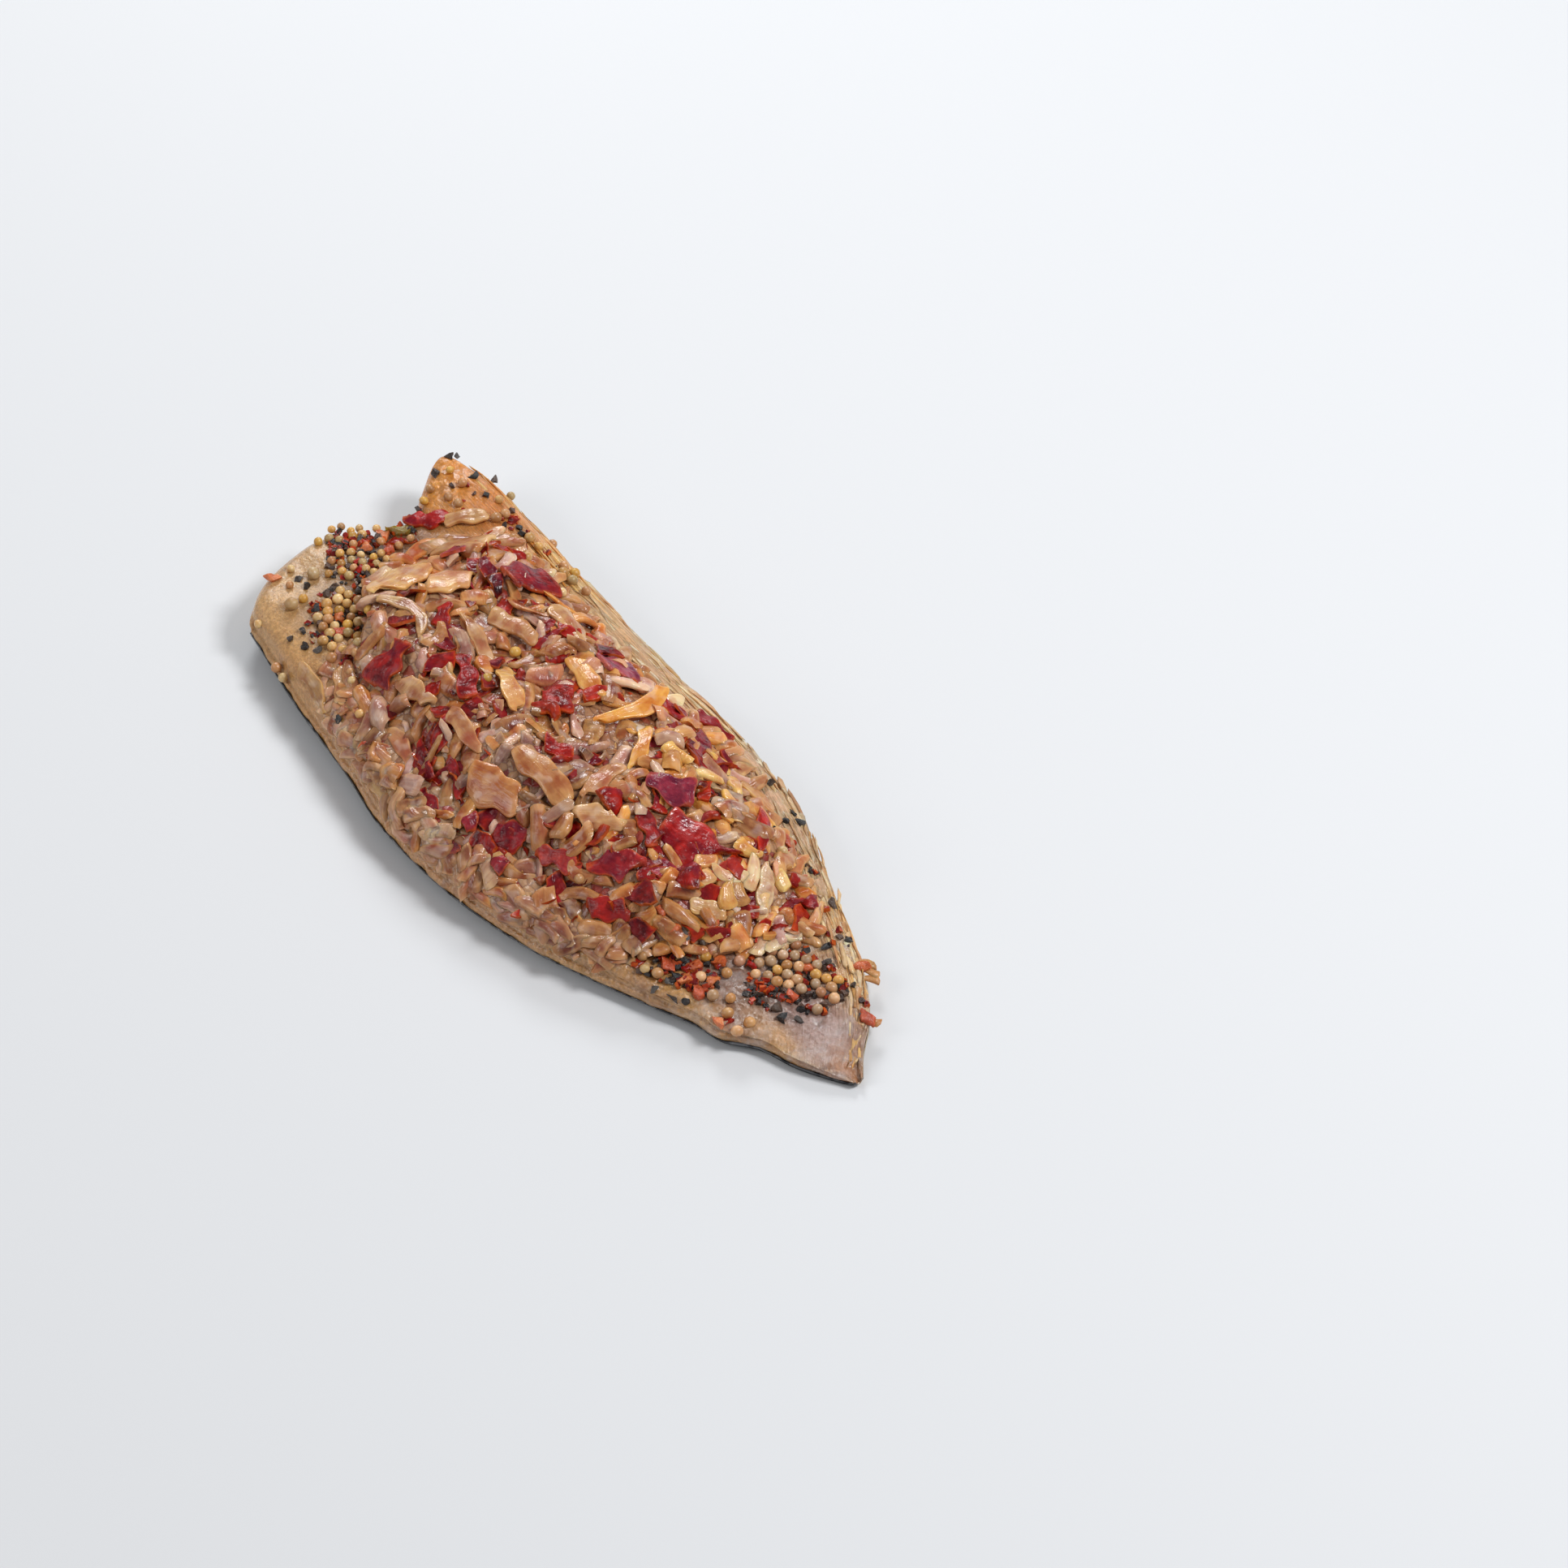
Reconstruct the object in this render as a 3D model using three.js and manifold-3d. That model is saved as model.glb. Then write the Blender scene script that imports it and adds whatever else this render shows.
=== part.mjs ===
// Smoked mackerel fillet under an onion and sweet pepper relish. Millimetres.
// X runs from the head end to the tail, Y from the back to the belly, Z up.
// The skin side is down and rests on a flat strip along the middle.
import * as THREE from "three";
import { mergeVertices } from "three/addons/utils/BufferGeometryUtils.js";
import Module from "manifold-3d";

const wasm = await Module();
wasm.setup();

// Plan outline: [x, y] of the back edge and of the belly edge.
const backEdge = [
  [-100, -33], [-84, -33.5], [-60, -36.2], [-35, -37.8], [-18, -39.6], [6, -37.8],
  [28, -32.6], [42, -27], [60, -18.4], [68, -14.2], [75, -11.8], [81, -6.4], [90, -2.2], [100.5, 5.2],
];
const bellyEdge = [
  [-100, 31.5], [-87, 35.5], [-57, 37.3], [-18, 38.5], [11, 39.6], [32, 37.8],
  [51, 32.4], [69, 26.8], [78, 23.6], [84, 20.6], [90, 16.4], [95, 11.6], [100.5, 7.6],
];
// Head end: x against the share of the width, a round lobe, a notch and the belly tip.
const headEdge = [
  [0, -84], [0.08, -89.5], [0.2, -94], [0.36, -97.2], [0.5, -95], [0.6, -91.3],
  [0.7, -91.8], [0.8, -96], [0.9, -99.8], [0.96, -100.6], [1, -98],
];
const tailEnd = 100.5;

// Thickness of the flesh along the length, and how far the edges curl up.
const fleshDepth = [[-100, 12.5], [-80, 13.6], [-40, 15], [0, 14.5], [40, 10.5], [70, 6], [100, 2.6]];
const backLift = [[-100, 5], [-60, 3.5], [0, 2.5], [60, 2], [100, 0.6]];
const bellyLift = [[-100, 11], [-80, 7.5], [-50, 4.5], [0, 3.5], [60, 2.5], [100, 1]];
const rimHeight = 3.6;
const endRounding = 4;
const restStrip = [0.34, 0.6];

// Grid of the fillet: cells along, cells across the top and across the skin.
const cellsAlong = 35;
const cellsTop = 12;
const cellsSkin = 5;

// Relish heap: its plan outline [x, y] on both sides and its height over the flesh.
const heapBack = [
  [-79, 5], [-74, -7], [-66, -13], [-58, -21], [-52, -27], [-40, -30.5], [-22, -37],
  [0, -35.4], [24, -30.4], [40, -26], [50, -13], [60, 3], [64, 15],
];
const heapBelly = [
  [-79, 9], [-75, 20], [-67, 28], [-45, 28], [-26, 29], [-5, 31], [14, 36],
  [31, 33], [48, 29.5], [60, 24.5], [64, 19],
];
const heapEnds = [-79, 64];
const heapHeight = 8.5;
const heapCells = [24, 10];
const heapEdge = 1.3;
const heapSink = 0.9;

// Clearance left around the heap and the pieces laid on it.
const clearance = 0.42;

const seedRadius = 1.4;
const peppercornRadius = 1.9;
const flakeSize = 2.6;
const carrotSize = 3.6;

// Mustard seeds lie in patches: centre, spread and number.
const seedPatches = [
  { x: -94.8, y: 0, spreadX: 2.2, spreadY: 6.5, count: 8 },
  { x: -83, y: -1.5, spreadX: 4.5, spreadY: 9, count: 13 },
  { x: -69.5, y: -17, spreadX: 4.5, spreadY: 4.5, count: 10 },
  { x: -60, y: -22.5, spreadX: 4.5, spreadY: 3.4, count: 9 },
  { x: -88, y: 22.5, spreadX: 6, spreadY: 5, count: 8 },
  { x: -72, y: 31, spreadX: 9, spreadY: 2.5, count: 4 },
  { x: -52, y: 33, spreadX: 5, spreadY: 1.5, count: 3 },
  { x: -84, y: -24, spreadX: 7, spreadY: 7, count: 3 },
  { x: 68.5, y: 10.5, spreadX: 5.5, spreadY: 4.6, count: 14 },
  { x: 78.5, y: 13, spreadX: 4, spreadY: 4.5, count: 5 },
  { x: 73, y: -7.5, spreadX: 5, spreadY: 2.2, count: 5 },
  { x: 61, y: -4, spreadX: 3.5, spreadY: 5, count: 4 },
  { x: 53, y: -16, spreadX: 3, spreadY: 2, count: 3 },
];
// Single seeds that stand on the edges.
const edgeSeeds = [[-81.7, -32.4], [-69.6, -35], [-66, -35.4], [-84.3, 36.4], [-67.5, 37], [-93.6, 20.5]];
const peppercorns = [[-85.6, -15.4], [-79.4, -24.7]];
const flakePatches = [
  { x: -92, y: 28, spreadX: 7, spreadY: 6, count: 4 },
  { x: -79, y: -12, spreadX: 8, spreadY: 9, count: 6 },
  { x: -66, y: -27, spreadX: 6, spreadY: 4, count: 4 },
  { x: -45, y: -34.5, spreadX: 5, spreadY: 1, count: 1 },
  { x: 57, y: -12, spreadX: 7, spreadY: 5, count: 5 },
  { x: 75, y: 8, spreadX: 6, spreadY: 7, count: 6 },
  { x: 36, y: 35, spreadX: 4, spreadY: 1.5, count: 2 },
  { x: 67, y: 23, spreadX: 6, spreadY: 3, count: 2 },
];
const carrotPatches = [
  { x: -88, y: 4, spreadX: 4, spreadY: 6, count: 3 },
  { x: -69, y: -20, spreadX: 7, spreadY: 6, count: 2 },
  { x: 58, y: -8, spreadX: 6, spreadY: 7, count: 6 },
  { x: 73, y: 10, spreadX: 3, spreadY: 5, count: 2 },
  { x: 73.5, y: -10, spreadX: 1, spreadY: 1, count: 1 },
];
const edgeCarrots = [[-90, -23.6], [76.6, 23.4], [89, 16.6]];

// Large pieces on the heap. turn is the direction of the length from +X in degrees;
// arch bows the length, cup bows the width, tilt rolls the piece about its length.
const onion = { thick: 1.5, rough: 0.1, across: 2, color: 0xd9b27c };
const pepper = { thick: 1.9, rough: 0.3, across: 2, color: 0xa51f1c };
const largePieces = [
  { name: "onion_petal_a", kind: onion, x: -68.5, y: -2.5, turn: -62, length: 16, width: 10.5, cup: 1.4 },
  { name: "onion_petal_b", kind: onion, x: -58.8, y: 4.8, turn: 70, length: 10.5, width: 8, cup: 1.6 },
  { name: "onion_head_a", kind: onion, x: -76, y: 6.4, turn: 22, length: 9, width: 4.2, cup: 0.5 },
  { name: "onion_head_b", kind: onion, x: -72, y: 16, turn: 42, length: 15, width: 6, cup: 1, arch: 0.8 },
  { name: "onion_head_c", kind: onion, x: -81, y: 22.2, turn: 66, length: 10.5, width: 4, arch: 0.5 },
  { name: "onion_hook", kind: onion, x: -54.5, y: -11.5, turn: 4, length: 17, width: 3, bend: 4.2 },
  { name: "onion_ridge", kind: onion, x: -21.5, y: -3.2, turn: -21, length: 16, width: 4.6, arch: 1.6 },
  { name: "onion_arc", kind: onion, x: -3.6, y: 17, turn: -83, length: 20, width: 3.8, bend: 2.6, arch: 1 },
  { name: "onion_slice", kind: onion, x: -0.4, y: -20.4, turn: 17, length: 14.5, width: 8.6, cup: 1.5 },
  { name: "onion_long", kind: onion, x: 5, y: -11.2, turn: 3, length: 19, width: 5.8, cup: 0.9, arch: 0.8 },
  { name: "onion_mid_a", kind: onion, x: 12.8, y: -1, turn: -68, length: 11, width: 5, cup: 0.8 },
  { name: "onion_mid_b", kind: onion, x: 8, y: 11.5, turn: -47, length: 12.5, width: 3.2, arch: 1, bend: 1 },
  { name: "onion_mid_c", kind: onion, x: -15.4, y: 13.2, turn: -8, length: 14, width: 4.6, cup: 0.8 },
  { name: "onion_mid_d", kind: onion, x: 21.5, y: -7.5, turn: 50, length: 9, width: 6.4, cup: 0.8, tilt: 10 },
  { name: "onion_tail_a", kind: onion, x: 52.2, y: 15, turn: -34, length: 10.5, width: 3.6, tilt: -8 },
  { name: "onion_tail_b", kind: onion, x: 51, y: 1.2, turn: 39, length: 8.4, width: 3.6, tilt: 6 },
  { name: "onion_back_a", kind: onion, x: -56.2, y: -33.6, turn: -10, length: 13.5, width: 3.6, bend: 0.8 },
  { name: "onion_back_b", kind: onion, x: -51.4, y: -28.6, turn: -26, length: 10.5, width: 3.6, tilt: -6 },
  { name: "onion_back_c", kind: onion, x: -34, y: -19.4, turn: 7, length: 10.5, width: 4.6, cup: 0.5 },
  { name: "onion_back_d", kind: onion, x: -19.4, y: -36.2, turn: 6, length: 11.5, width: 3.8, tilt: 8 },
  { name: "onion_back_e", kind: onion, x: -39.4, y: -0.6, turn: -8, length: 13.5, width: 3.4, arch: 1 },
  { name: "onion_back_f", kind: onion, x: -38.4, y: 8.8, turn: 18, length: 13.5, width: 4.8, cup: 1 },
  { name: "onion_back_g", kind: onion, x: 18.4, y: -30, turn: 22, length: 10.4, width: 5, cup: 0.7 },
  { name: "onion_back_h", kind: onion, x: 4.4, y: -31.4, turn: 14, length: 11.4, width: 4.4, tilt: 8 },
  { name: "onion_back_i", kind: onion, x: 38.6, y: -23.6, turn: -4, length: 11, width: 3.6, bend: 0.8 },
  { name: "onion_back_j", kind: onion, x: -17, y: -17.4, turn: -2, length: 13.5, width: 3.6, arch: 1 },
  { name: "onion_back_k", kind: onion, x: -27, y: -28.6, turn: -5, length: 13.5, width: 3.6, bend: 1 },
  { name: "onion_belly_a", kind: onion, x: -33, y: 20, turn: -12, length: 14, width: 5.4, cup: 1.1 },
  { name: "onion_belly_b", kind: onion, x: 27.5, y: 29.5, turn: 20, length: 10.5, width: 4, bend: 0.8 },
  { name: "pepper_head", kind: pepper, x: -86.6, y: 15.4, turn: 39, length: 9, width: 4.8, cup: 0.6 },
  { name: "pepper_crimson", kind: pepper, x: -50.3, y: 20.4, turn: 82, length: 12.5, width: 10, cup: 1.2 },
  { name: "pepper_red_a", kind: pepper, x: -44.8, y: -19.4, turn: -80, length: 12, width: 7.4, arch: 1 },
  { name: "pepper_red_b", kind: pepper, x: -49.6, y: -2.8, turn: -40, length: 9, width: 4.6, tilt: 12 },
  { name: "pepper_red_c", kind: pepper, x: -29.8, y: -9, turn: -24, length: 15, width: 5, arch: 0.8 },
  { name: "pepper_dark_a", kind: pepper, x: -14, y: 5.2, turn: -85, length: 9.5, width: 8, cup: 0.8 },
  { name: "pepper_pink", kind: pepper, x: -16.6, y: 22.2, turn: 80, length: 10, width: 7.4, cup: 0.8 },
  { name: "pepper_strip_a", kind: pepper, x: -9.6, y: -31.6, turn: -4, length: 10.3, width: 3.6, arch: 0.5 },
  { name: "pepper_strip_b", kind: pepper, x: -10.4, y: -24.6, turn: -24, length: 10.5, width: 3, bend: 1 },
  { name: "pepper_chunk", kind: pepper, x: 10.4, y: -23.4, turn: 50, length: 8.4, width: 6.4, cup: 0.6 },
  { name: "pepper_red_d", kind: pepper, x: 22.6, y: -18.6, turn: 40, length: 10, width: 4.6, arch: 0.6 },
  { name: "pepper_red_e", kind: pepper, x: 33, y: -10.4, turn: 50, length: 9, width: 5.8, cup: 0.6 },
  { name: "pepper_red_f", kind: pepper, x: 39, y: -16.4, turn: 52, length: 9, width: 5.4, cup: 0.6 },
  { name: "pepper_big", kind: pepper, x: 37, y: 9, turn: 33, length: 17, width: 10.5, cup: 2, tilt: 8 },
  { name: "pepper_purple", kind: pepper, x: 22.6, y: 10.4, turn: 8, length: 11, width: 5.6, arch: 1, tilt: 10 },
  { name: "pepper_dark_b", kind: pepper, x: 28.6, y: 0.6, turn: -10, length: 9.5, width: 4.8, cup: 0.6 },
  { name: "pepper_dark_c", kind: pepper, x: 11.6, y: 24.6, turn: -58, length: 12, width: 5.4, cup: 0.8 },
  { name: "pepper_edge", kind: pepper, x: 4, y: 33.4, turn: 14, length: 11.5, width: 4, arch: 0.5 },
  { name: "pepper_orange", kind: pepper, x: 46.4, y: 9.6, turn: 86, length: 9, width: 3, arch: 0.6 },
  { name: "pepper_tail", kind: pepper, x: 57.6, y: 20.4, turn: 70, length: 9, width: 4, cup: 0.5 },
];

// Small pieces fused into the heap, drawn over its plan between the large ones.
const smallPieceCount = 40;
const smallPieceSpacing = 6.2;

// Edges shorter than this are closed up in the finished bodies.
const finest = 0.03;

function smooth(value) {
  const t = Math.min(1, Math.max(0, value));
  return t * t * (3 - 2 * t);
}

function clamp01(value) {
  return Math.min(1, Math.max(0, value));
}

// Smooth curve through stations [x, y], level beyond both ends.
function profile(stations, x) {
  const last = stations.length - 1;
  if (x <= stations[0][0]) return stations[0][1];
  if (x >= stations[last][0]) return stations[last][1];
  let i = 0;
  while (stations[i + 1][0] < x) i += 1;
  const slope = (k) => {
    const a = stations[Math.max(0, k - 1)];
    const b = stations[Math.min(last, k + 1)];
    return (b[1] - a[1]) / (b[0] - a[0]);
  };
  const [x0, y0] = stations[i];
  const [x1, y1] = stations[i + 1];
  const span = x1 - x0;
  const t = (x - x0) / span;
  const rise = y0 * (2 * t ** 3 - 3 * t * t + 1) + y1 * (3 * t * t - 2 * t ** 3);
  const lean = slope(i) * span * (t ** 3 - 2 * t * t + t) + slope(i + 1) * span * (t ** 3 - t * t);
  return rise + lean;
}

// Repeatable draw of numbers from 0 to 1.
function drawer(seed) {
  let state = seed;
  return () => {
    state = (state * 1664525 + 1013904223) % 4294967296;
    return state / 4294967296;
  };
}

function shareAcross(x, y) {
  const back = profile(backEdge, x);
  const belly = profile(bellyEdge, x);
  return (y - back) / (belly - back);
}

// Height of the skin over the rest plane, of the flesh over the skin and of the heap.
function skinHeight(x, v) {
  const back = profile(backLift, x) * smooth((restStrip[0] - v) / restStrip[0]) ** 1.3;
  const belly = profile(bellyLift, x) * smooth((v - restStrip[1]) / (1 - restStrip[1])) ** 1.2;
  return back + belly;
}

function fleshHeight(x, v) {
  const deep = profile(fleshDepth, x);
  const bulge = v > 0 && v < 1 ? Math.sin(Math.PI * v ** 0.85) ** 0.62 : 0;
  const rim = Math.min(rimHeight, deep);
  const groove = 2.2 * Math.exp(-(((v - 0.56) / 0.075) ** 2)) * smooth((40 - x) / 90);
  const waves = Math.sin(0.19 * x + 1.1 + 6 * v) + 0.7 * Math.sin(0.43 * x - 11 * v);
  return rim + (deep - rim) * bulge - groove * Math.min(1, deep / 10) + 0.22 * waves * bulge;
}

function heapOver(x, v) {
  const along = smooth((x + 80) / 22) * smooth((66 - x) / 26);
  const across = smooth((v - 0.08) / 0.25) * smooth((0.93 - v) / 0.22);
  return heapHeight * along * across;
}

function fleshTop(x, y) {
  const v = clamp01(shareAcross(x, y));
  return skinHeight(x, v) + fleshHeight(x, v);
}

function heapTop(x, y) {
  return fleshTop(x, y) + heapOver(x, clamp01(shareAcross(x, y)));
}

function insideHeap(x, y, margin) {
  if (x < heapEnds[0] - margin || x > heapEnds[1] + margin) return false;
  return y > profile(heapBack, x) - margin && y < profile(heapBelly, x) + margin;
}

// Triangles across one ring, zipped between its two sides by the shorter diagonal.
function capTriangles(ring) {
  const gap = (a, b) => Math.hypot(ring[a][0] - ring[b][0], ring[a][1] - ring[b][1], ring[a][2] - ring[b][2]);
  const triangles = [];
  let i = 0;
  let j = ring.length - 1;
  while (j - i > 1) {
    if (gap(i + 1, j) < gap(i, j - 1)) {
      triangles.push([i, i + 1, j]);
      i += 1;
    } else {
      triangles.push([i, j - 1, j]);
      j -= 1;
    }
  }
  return triangles;
}

// Closed body through rings of [x, y, z] with equal counts, capped at both ends.
function loft(rings) {
  const size = rings[0].length;
  const positions = rings.flat(2);
  const triangles = [];
  for (let r = 0; r < rings.length - 1; r += 1) {
    for (let k = 0; k < size; k += 1) {
      const a = r * size + k;
      const b = r * size + ((k + 1) % size);
      triangles.push(a, b, b + size, a, b + size, a + size);
    }
  }
  const far = (rings.length - 1) * size;
  for (const [a, b, c] of capTriangles(rings[0])) {
    triangles.push(a, c, b);
  }
  for (const [a, b, c] of capTriangles(rings[rings.length - 1])) {
    triangles.push(far + a, far + b, far + c);
  }
  const geometry = new THREE.BufferGeometry();
  geometry.setAttribute("position", new THREE.Float32BufferAttribute(positions, 3));
  geometry.setIndex(triangles);
  return geometry;
}

// Positions and triangles alone, with the corners that coincide joined.
function joined(geometry) {
  const bare = new THREE.BufferGeometry();
  bare.setAttribute("position", geometry.attributes.position);
  if (geometry.index) bare.setIndex(geometry.index);
  return mergeVertices(bare, 1e-4);
}

// The same body with every corner moved out along its mean normal.
function grown(geometry, distance) {
  const body = joined(geometry);
  body.computeVertexNormals();
  const place = body.attributes.position;
  const normal = body.attributes.normal;
  for (let i = 0; i < place.count; i += 1) {
    place.setXYZ(
      i,
      place.getX(i) + distance * normal.getX(i),
      place.getY(i) + distance * normal.getY(i),
      place.getZ(i) + distance * normal.getZ(i),
    );
  }
  body.deleteAttribute("normal");
  return body;
}

function solidOf(geometry) {
  const merged = joined(geometry);
  const vertProperties = new Float32Array(merged.attributes.position.array);
  const triVerts = new Uint32Array(merged.index.array);
  const solid = new wasm.Manifold(new wasm.Mesh({ numProp: 3, vertProperties, triVerts }));
  if (solid.volume() > 0) return solid;
  return new wasm.Manifold(new wasm.Mesh({ numProp: 3, vertProperties, triVerts: triVerts.reverse() }));
}

// The largest single body of a solid, so that scraps and sealed hollows go.
function largestBody(solid) {
  const bodies = solid.decompose();
  return bodies.reduce((best, body) => (body.volume() > best.volume() ? body : best));
}

// One ring round the fillet at share u of its length: rim, flesh, rim, skin.
function filletRing(u) {
  const at = (v, level, inward) => {
    const start = profile(headEdge, v);
    const x = start + (tailEnd - start) * u;
    const back = profile(backEdge, x);
    const belly = profile(bellyEdge, x);
    const width = belly - back;
    const side = v < 0.5 ? 1 : -1;
    const y = back + width * v + side * Math.min(inward, 0.2 * width);
    const toEnd = Math.min(u, 1 - u) * (tailEnd - start);
    const round = Math.sqrt(1 - (1 - Math.min(1, toEnd / endRounding)) ** 2);
    const tall = level > 1 ? fleshHeight(x, v) : level * Math.min(rimHeight, profile(fleshDepth, x));
    return [x, y, skinHeight(x, v) + tall * (0.72 + 0.28 * round) + (level === 0 ? 0.9 * (1 - round) : 0)];
  };
  const ring = [at(0, 0, 1.5), at(0, 0.35, 0), at(0, 0.8, 0.15)];
  for (let k = 0; k <= cellsTop; k += 1) {
    const v = 0.5 - 0.5 * Math.cos((Math.PI * k) / cellsTop);
    ring.push(at(v, 2, k === 0 || k === cellsTop ? 1.1 : 0));
  }
  ring.push(at(1, 0.8, 0.15), at(1, 0.35, 0), at(1, 0, 1.5));
  for (let k = cellsSkin - 1; k > 0; k -= 1) {
    ring.push(at(k / cellsSkin, 0, 0));
  }
  return ring.reverse();
}

function filletBody() {
  const rings = [filletRing(0), filletRing(0.006), filletRing(0.018)];
  for (let k = 1; k < cellsAlong; k += 1) {
    rings.push(filletRing(0.018 + (0.964 * k) / cellsAlong));
  }
  rings.push(filletRing(0.982), filletRing(0.994), filletRing(1));
  return loft(rings);
}

// Core of the heap, which reaches down into the flesh before the fillet is cut away.
function heapCore() {
  const [along, across] = heapCells;
  const rings = [];
  for (let i = 0; i <= along; i += 1) {
    const t = 0.5 - 0.5 * Math.cos((Math.PI * i) / along);
    const x = heapEnds[0] + (heapEnds[1] - heapEnds[0]) * (0.4 * t + (0.6 * i) / along);
    const back = profile(heapBack, x);
    const belly = profile(heapBelly, x);
    const ring = [];
    for (let k = 0; k <= across; k += 1) {
      const y = back + ((belly - back) * k) / across;
      const edge = k === 0 || k === across || i === 0 || i === along ? 0 : 1;
      const lump = 0.55 * Math.sin(0.9 * x + 0.3 * y) * Math.sin(0.7 * y - 0.2 * x);
      const inner = heapTop(x, y) - heapSink + lump;
      const rim = fleshTop(x, y) + heapEdge;
      ring.push([x, y, edge ? Math.max(inner, rim) : rim]);
    }
    for (let k = across; k >= 0; k -= 1) {
      const y = back + ((belly - back) * k) / across;
      ring.push([x, y, fleshTop(x, y) - 2.5]);
    }
    rings.push(ring.reverse());
  }
  return loft(rings);
}

// Bent slab with rounded ends, laid on the heap or the flesh along the local slope.
function laidPiece(piece, seed, extra) {
  const { thick, rough, across } = piece.kind;
  const draw = drawer(seed);
  const length = piece.length;
  const width = piece.width;
  const along = Math.max(2, Math.round(length / 3.6));
  const rings = [];
  for (let i = 0; i <= along; i += 1) {
    const s = -1 + (2 * i) / along;
    const half = 0.5 * width * (1 - 0.42 * Math.abs(s) ** 3) * (1 + rough * (draw() - 0.5));
    const ring = [];
    const heights = [];
    for (let k = 0; k <= across; k += 1) {
      heights.push((draw() - 0.5) * rough * 2.4);
    }
    const point = (k, side) => {
      const t = -1 + (2 * k) / across;
      const rise = (piece.arch || 0) * (1 - s * s) + (piece.cup || 0) * (1 - t * t) + heights[k];
      const slim = 1 - 0.3 * t * t - 0.25 * Math.abs(s) ** 4;
      return [
        0.5 * s * length,
        t * half + (piece.bend || 0) * (1 - s * s),
        rise + side * 0.5 * thick * slim,
      ];
    };
    for (let k = 0; k <= across; k += 1) {
      ring.push(point(k, -1));
    }
    for (let k = across; k >= 0; k -= 1) {
      ring.push(point(k, 1));
    }
    rings.push(ring);
  }
  const body = loft(rings);
  const ground = insideHeap(piece.x, piece.y, 0) ? heapTop : (x, y) => fleshTop(x, y) + 0.3;
  const reach = 3;
  const slopeX = (ground(piece.x + reach, piece.y) - ground(piece.x - reach, piece.y)) / (2 * reach);
  const slopeY = (ground(piece.x, piece.y + reach) - ground(piece.x, piece.y - reach)) / (2 * reach);
  const up = new THREE.Vector3(-slopeX, -slopeY, 1).normalize();
  const turn = THREE.MathUtils.degToRad(piece.turn);
  const forward = new THREE.Vector3(Math.cos(turn), Math.sin(turn), 0);
  forward.addScaledVector(up, -forward.dot(up)).normalize();
  const side = new THREE.Vector3().crossVectors(up, forward);
  const frame = new THREE.Matrix4().makeBasis(forward, side, up);
  frame.multiply(new THREE.Matrix4().makeRotationX(THREE.MathUtils.degToRad(piece.tilt || 0)));
  const height = ground(piece.x, piece.y) + (piece.raise || 0.25);
  frame.premultiply(new THREE.Matrix4().makeTranslation(piece.x, piece.y, height));
  const laid = extra > 0 ? grown(body, extra) : body;
  laid.applyMatrix4(frame);
  return solidOf(laid);
}

// True where a large piece covers the place, with a margin round its outline.
function underLargePiece(x, y, margin) {
  return largePieces.some((piece) => {
    const turn = THREE.MathUtils.degToRad(piece.turn);
    const along = (x - piece.x) * Math.cos(turn) + (y - piece.y) * Math.sin(turn);
    const across = (y - piece.y) * Math.cos(turn) - (x - piece.x) * Math.sin(turn);
    const wide = 0.5 * piece.width + Math.abs(piece.bend || 0);
    return Math.abs(along) < 0.5 * piece.length + margin && Math.abs(across) < wide + margin;
  });
}

// Points of a patch at least a spacing apart, on the flesh and clear of the heap.
function patchPoints(patch, draw, spacing, taken, place) {
  let found = 0;
  for (let tries = 0; tries < 400 && found < patch.count; tries += 1) {
    const angle = 2 * Math.PI * draw();
    const reach = 1.25 * Math.sqrt(draw());
    const x = patch.x + patch.spreadX * reach * Math.cos(angle);
    const y = patch.y + patch.spreadY * reach * Math.sin(angle);
    const v = shareAcross(x, y);
    const head = x - profile(headEdge, clamp01(v));
    const apart = taken.every((p) => Math.hypot(p[0] - x, p[1] - y) > spacing);
    const onFlesh = v > 0.03 && v < 0.97 && head > 1.2;
    if (apart && onFlesh && !insideHeap(x, y, 2) && !underLargePiece(x, y, 1.8)) {
      taken.push([x, y]);
      place(x, y);
      found += 1;
    }
  }
}

function ballAt(radius, x, y, sink) {
  const ball = new THREE.IcosahedronGeometry(radius, 0);
  ball.rotateX(0.7 * x);
  ball.rotateZ(1.3 * y);
  ball.translate(x, y, fleshTop(x, y) + radius * sink);
  return ball;
}

function blockAt(size, flat, x, y, turn) {
  const block = new THREE.BoxGeometry(size, size * 0.72, size * flat);
  block.rotateX(0.35 * Math.sin(3 * x));
  block.rotateY(0.3 * Math.sin(5 * y));
  block.rotateZ(turn);
  block.translate(x, y, fleshTop(x, y) + size * flat * 0.28);
  return block;
}

// Spice that is stuck to the flesh: seeds, peppercorns, cracked pepper and carrot.
function spiceBodies() {
  const draw = drawer(4127);
  const bodies = [];
  const taken = [];
  for (const [x, y] of peppercorns) {
    taken.push([x, y]);
    bodies.push(ballAt(peppercornRadius, x, y, 0.62));
  }
  for (const [x, y] of edgeSeeds) {
    taken.push([x, y]);
    bodies.push(ballAt(seedRadius, x, y, 0.3));
  }
  for (const [x, y] of edgeCarrots) {
    taken.push([x, y]);
    bodies.push(blockAt(carrotSize, 0.7, x, y, 0.6));
  }
  for (const patch of carrotPatches) {
    patchPoints(patch, draw, 4.4, taken, (x, y) => bodies.push(blockAt(carrotSize, 0.5, x, y, 6 * draw())));
  }
  for (const patch of seedPatches) {
    patchPoints(patch, draw, 2.75, taken, (x, y) => bodies.push(ballAt(seedRadius, x, y, 0.55)));
  }
  for (const patch of flakePatches) {
    patchPoints(patch, draw, 2.9, taken, (x, y) => bodies.push(blockAt(flakeSize, 0.5, x, y, 6 * draw())));
  }
  return bodies;
}

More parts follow.
